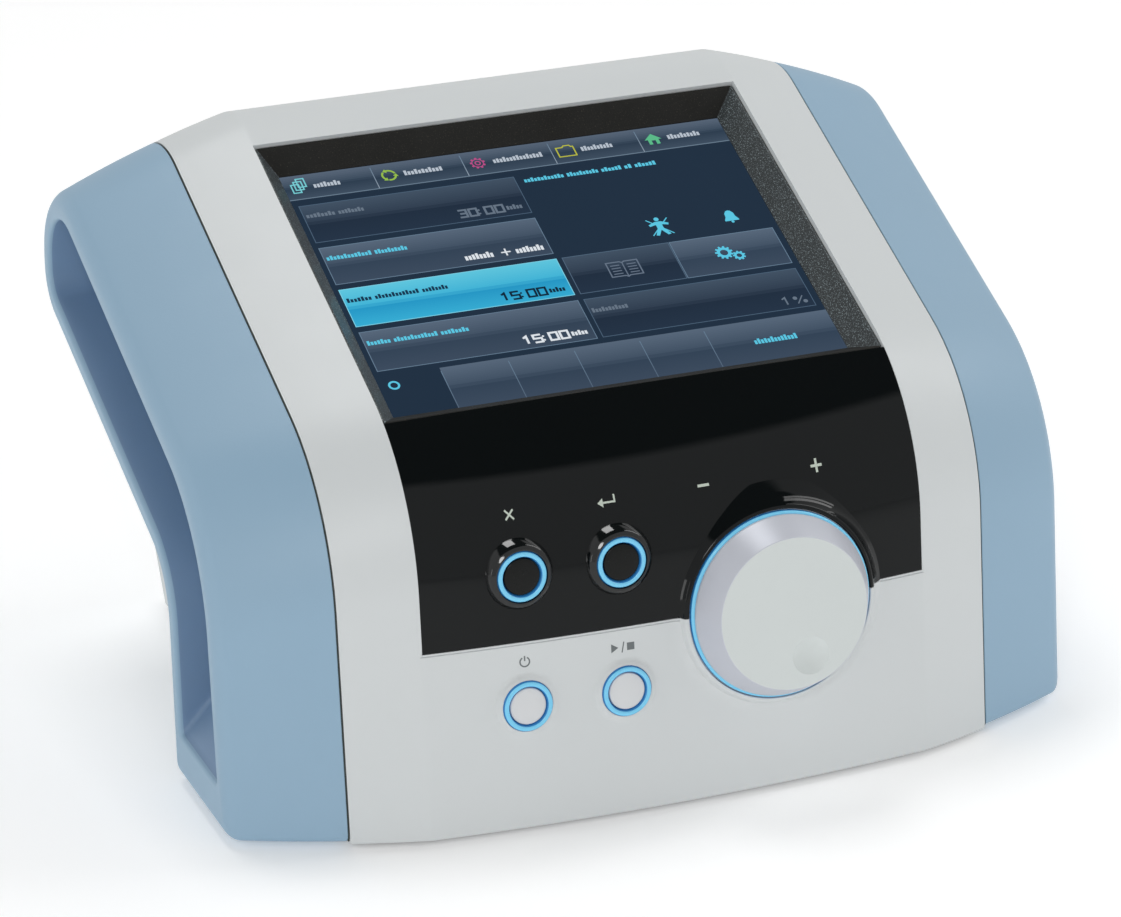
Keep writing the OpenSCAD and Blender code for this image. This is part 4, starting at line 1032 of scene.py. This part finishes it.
# the ring's sides are darker than its crown: painted shade of its rounded profile
ring_mats = band_mats(len(ring_profile), RING_SEGMENTS, (0, 1, 2, *range(7, 14)))
for k, (x, z) in enumerate((x, z) for x in BUTTON_X for z in BUTTON_Z):
    ring = lathe(ring_profile, on_face(x, z), RING_SEGMENTS, closed=True)
    add_object(f"button_ring_{k + 1}", ring, [M["ring"], M["ring_edge_painted_shade"]], "light_ring",
               replaces=["button_rings"] if k == 0 else (), sharp=60, face_mat=ring_mats)

# seat inside the collar that the knob's ring lies on
seat = lathe([(5.2, 2.2), (34.0, 2.2), (34.15, 2.05), (34.15, -1.5), (5.2, -1.5)], KNOB, 120,
             closed=True)
add_object("knob_seat", seat, M["white"], "white_plastic", sharp=40)
knob_loop = [(29.6, 2.3), (29.6, 4.0), (29.8, 4.2), (32.7, 4.2), (33.15, 4.14), (33.5, 3.93), (33.75, 3.6),
             (33.86, 3.2), (33.86, 2.3)]
# the knob ring's sides take the same painted shade
add_object("knob_light_ring", lathe(knob_loop, KNOB, KNOB_SEGMENTS, closed=True),
           [M["ring"], M["ring_edge_painted_shade"]], "light_ring", replaces=["knob_ring"], sharp=60,
           face_mat=band_mats(len(knob_loop), KNOB_SEGMENTS, (0, 1, 6, 7, 8)))

# the knob: rings (centre, radius, height) from the dimple over the face and the skirt to the inside
DIMPLE_X, DIMPLE_Y, BALL_R, BALL_UP = 5.6, -16.2, 12.5, 10.44
DIMPLE_R = math.sqrt(BALL_R ** 2 - BALL_UP ** 2)
FACE_EDGE, KNOB_LOW, KNOB_IN = 26.9, 4.5, 13.2
BALL_H = KNOB_FACE_H + BALL_UP
rings = [(DIMPLE_X, DIMPLE_Y, DIMPLE_R * f, BALL_H - math.sqrt(BALL_R ** 2 - (DIMPLE_R * f) ** 2))
         for f in (0.12, 0.25, 0.4, 0.55, 0.7, 0.85, 0.97)]
for t in (0, 0.015, 0.1, 0.2, 0.3, 0.4, 0.5, 0.6, 0.7, 0.8, 0.9, 1):
    rings.append((DIMPLE_X * (1 - t), DIMPLE_Y * (1 - t), DIMPLE_R + (FACE_EDGE - DIMPLE_R) * t, KNOB_FACE_H))
face_rings = len(rings)
skirt = fillet([(FACE_EDGE, KNOB_FACE_H, 0), (27.6, KNOB_FACE_H, 0.3), (32.75, 5.4, 0.5),
                (32.8, KNOB_LOW, 0)], 6)
rings += [(0, 0, r, h) for r, h in skirt[1:]]
rings += [(0, 0, r, h) for r, h in ((30.4, KNOB_LOW), (25.6, KNOB_IN), (5.4, KNOB_IN), (5.4, 5), (3.02, 5),
                                    (3.02, KNOB_IN))]
pts, faces = loft([[KNOB(cu + r * c, cv + r * s, h) for c, s in circle_points(KNOB_SEGMENTS)]
                   for cu, cv, r, h in rings], caps=False)
face_mat = band_mats(len(rings) - 1, KNOB_SEGMENTS, range(face_rings, len(rings) - 1))
dimple, inside, last = len(pts), len(pts) + 1, len(pts) - KNOB_SEGMENTS
pts += [KNOB(DIMPLE_X, DIMPLE_Y, BALL_H - BALL_R), KNOB(0, 0, KNOB_IN)]
for k in range(KNOB_SEGMENTS):
    k2 = (k + 1) % KNOB_SEGMENTS
    faces += [(dimple, k, k2), (last + k, inside, last + k2)]
    face_mat += [0, 1]
add_object("knob_turned", (pts, faces), [M["knob_face"], M["knob_skirt"]], "knob_plastic", body="knob_body",
           replaces=["knob"], sharp=24, face_mat=face_mat)

# ---------------- printed marks
LABEL_HIGH, LABEL_LOW = 110.6, 59.9


def marks(name, mat, draw):
    s = Slabs(on_skin, -0.06, 0.05)
    draw(s)
    s.build(name, mat, "gloss_key")


def upper_marks(s):
    x, z = -59.2, LABEL_HIGH  # back: a cross
    s.line([(x - 1.5, z - 1.5), (x + 1.5, z + 1.5)], 0.6)
    s.line([(x - 1.5, z + 1.5), (x + 1.5, z - 1.5)], 0.6, lift=0.01)
    x = -24.0  # accept: an arrow that turns back to the left
    s.line([(x + 2.9, z + 1.7), (x + 2.9, z - 0.5), (x - 1.6, z - 0.5)], 0.6)
    s.fill([(x - 3.4, z - 0.5), (x - 1.4, z + 0.9), (x - 1.4, z - 1.9)])
    for x in (12.0, 55.2):  # less and more
        s.line([(x - 2.15, z), (x + 2.15, z)], 0.85)
    s.line([(x, z - 2.15), (x, z + 2.15)], 0.85, lift=0.01)


def lower_marks(s):
    x, z = BUTTON_X[0], LABEL_LOW  # power sign
    s.arc(x, z, 1.7, 120, 420, 0.5)
    s.line([(x, z + 0.3), (x, z + 2.1)], 0.5, lift=0.01)
    x = BUTTON_X[1] - 1.0  # start triangle and stop square
    s.fill([(x - 3.6, z - 1.6), (x - 3.6, z + 1.6), (x - 1.0, z)])
    s.line([(x + 0.3, z - 1.9), (x + 1.1, z + 1.9)], 0.4)
    s.fill([(x + 2.2, z - 1.35), (x + 4.9, z - 1.35), (x + 4.9, z + 1.35), (x + 2.2, z + 1.35)])


marks("panel_marks", M["print_light"], upper_marks)
marks("face_marks", M["print_grey"], lower_marks)

# ---------------- CAD nodes that stay
KEPT = {
    "white": "rear_cover",
    "seal": "left_gasket right_gasket",
    "rubber": "rubber_feet",
    "glass": "touch_glass",
    "board": "main_board keypad_board generator_board",
    "aluminium": "heat_sink",
    "brass": "board_spacers socket_pins",
    "steel": "lcd_module lcd_bracket encoder_body encoder_shaft power_supply fan_guard inlet_pins fuses "
             "earth_pin case_screws",
    "dark": "tact_switches fan_frame fan_rotor mains_inlet mains_rocker speaker",
    "grey": "base_plate fuse_drawer applicator_sockets keypad_ribbon screen_ribbon",
    "wire": "mains_wires applicator_leads fan_lead",
}
# widths of softened edges, in mm
EDGES = {"rear_cover": 0.5, "base_plate": 0.3, "mains_inlet": 0.4, "fuse_drawer": 0.3, "mains_rocker": 0.5,
         "applicator_sockets": 0.4, "fan_frame": 0.3, "rubber_feet": 0.5, "earth_pin": 0.3}
for key, names in KEPT.items():
    for name in names.split():
        o = nodes[name]
        o.data.materials.clear()
        o.data.materials.append(M[key])
        if name in EDGES:
            bevel(o, EDGES[name], 30)

# ---------------- stage
FLOOR = 9  # half width, in metres
me = bpy.data.meshes.new("floor")
me.from_pydata([(-FLOOR, -FLOOR, 0), (FLOOR, -FLOOR, 0), (FLOOR, FLOOR, 0), (-FLOOR, FLOOR, 0)], [],
               [(0, 1, 2, 3)])
me.materials.append(material("floor_pale", (0.95, 0.95, 0.95, 1), 0.9, tint=0.0, grain=None, rough_var=0,
                             emission=0.22))
linked("floor", me)

world = bpy.data.worlds.new("studio")
scene.world = world
world.use_nodes = True
wn, wl = world.node_tree.nodes, world.node_tree.links.new
sep = wn.new("ShaderNodeSeparateXYZ")
wl(wn.new("ShaderNodeTexCoord").outputs["Generated"], sep.inputs[0])
sky = wn.new("ShaderNodeValToRGB")
# pale walls, dark overhead
for stop, at, color in zip(sky.color_ramp.elements, (0.76, 0.80), ((0.955, 0.957, 0.957, 1),
                                                                   (0.06, 0.065, 0.06, 1))):
    stop.position, stop.color = at, color
wl(sep.outputs["Z"], sky.inputs["Fac"])
wl(sky.outputs["Color"], wn["Background"].inputs["Color"])
put(wn["Background"], Strength=0.77)


def add_aimed(name, data, place, aim):
    """A light or camera at place, looking along aim."""
    o = linked(name, data)
    o.location = place
    o.rotation_mode = "QUATERNION"
    o.rotation_quaternion = Vector(aim).to_track_quat("-Z", "Y")
    return o


CENTRE = Vector((0, 0, 0.1))
# place and size in metres, power in watts
for name, place, size, power in (
        ("key_softbox", (-0.15, 0.7, 2.2), (0.8, 0.7), 14),
        ("window_softbox", (-0.8, -1.7, 1.1), (0.35, 0.45), 6.6),
        ("left_strip", (-1.7, -0.4, 0.25), (0.2, 0.5), 1.2),
        ("right_strip_1", (1.06, -0.17, 1.02), (0.15, 0.9), 1.8),
        ("right_strip_2", (1.06, 0.05, 1.02), (0.15, 0.9), 1.8)):
    light = bpy.data.lights.new(name, "AREA")
    light.shape, light.size, light.size_y = "RECTANGLE", *size
    light.energy = power
    add_aimed(name, light, place, CENTRE - Vector(place))

# place in metres and direction of view
cam = bpy.data.cameras.new("camera")
cam.lens, cam.sensor_width = 165.39, 36
scene.camera = add_aimed("camera", cam, (-0.6338, -1.58933, 0.8316), (0.3388, 0.8518, -0.3997))
scene.view_settings.view_transform = "Standard"
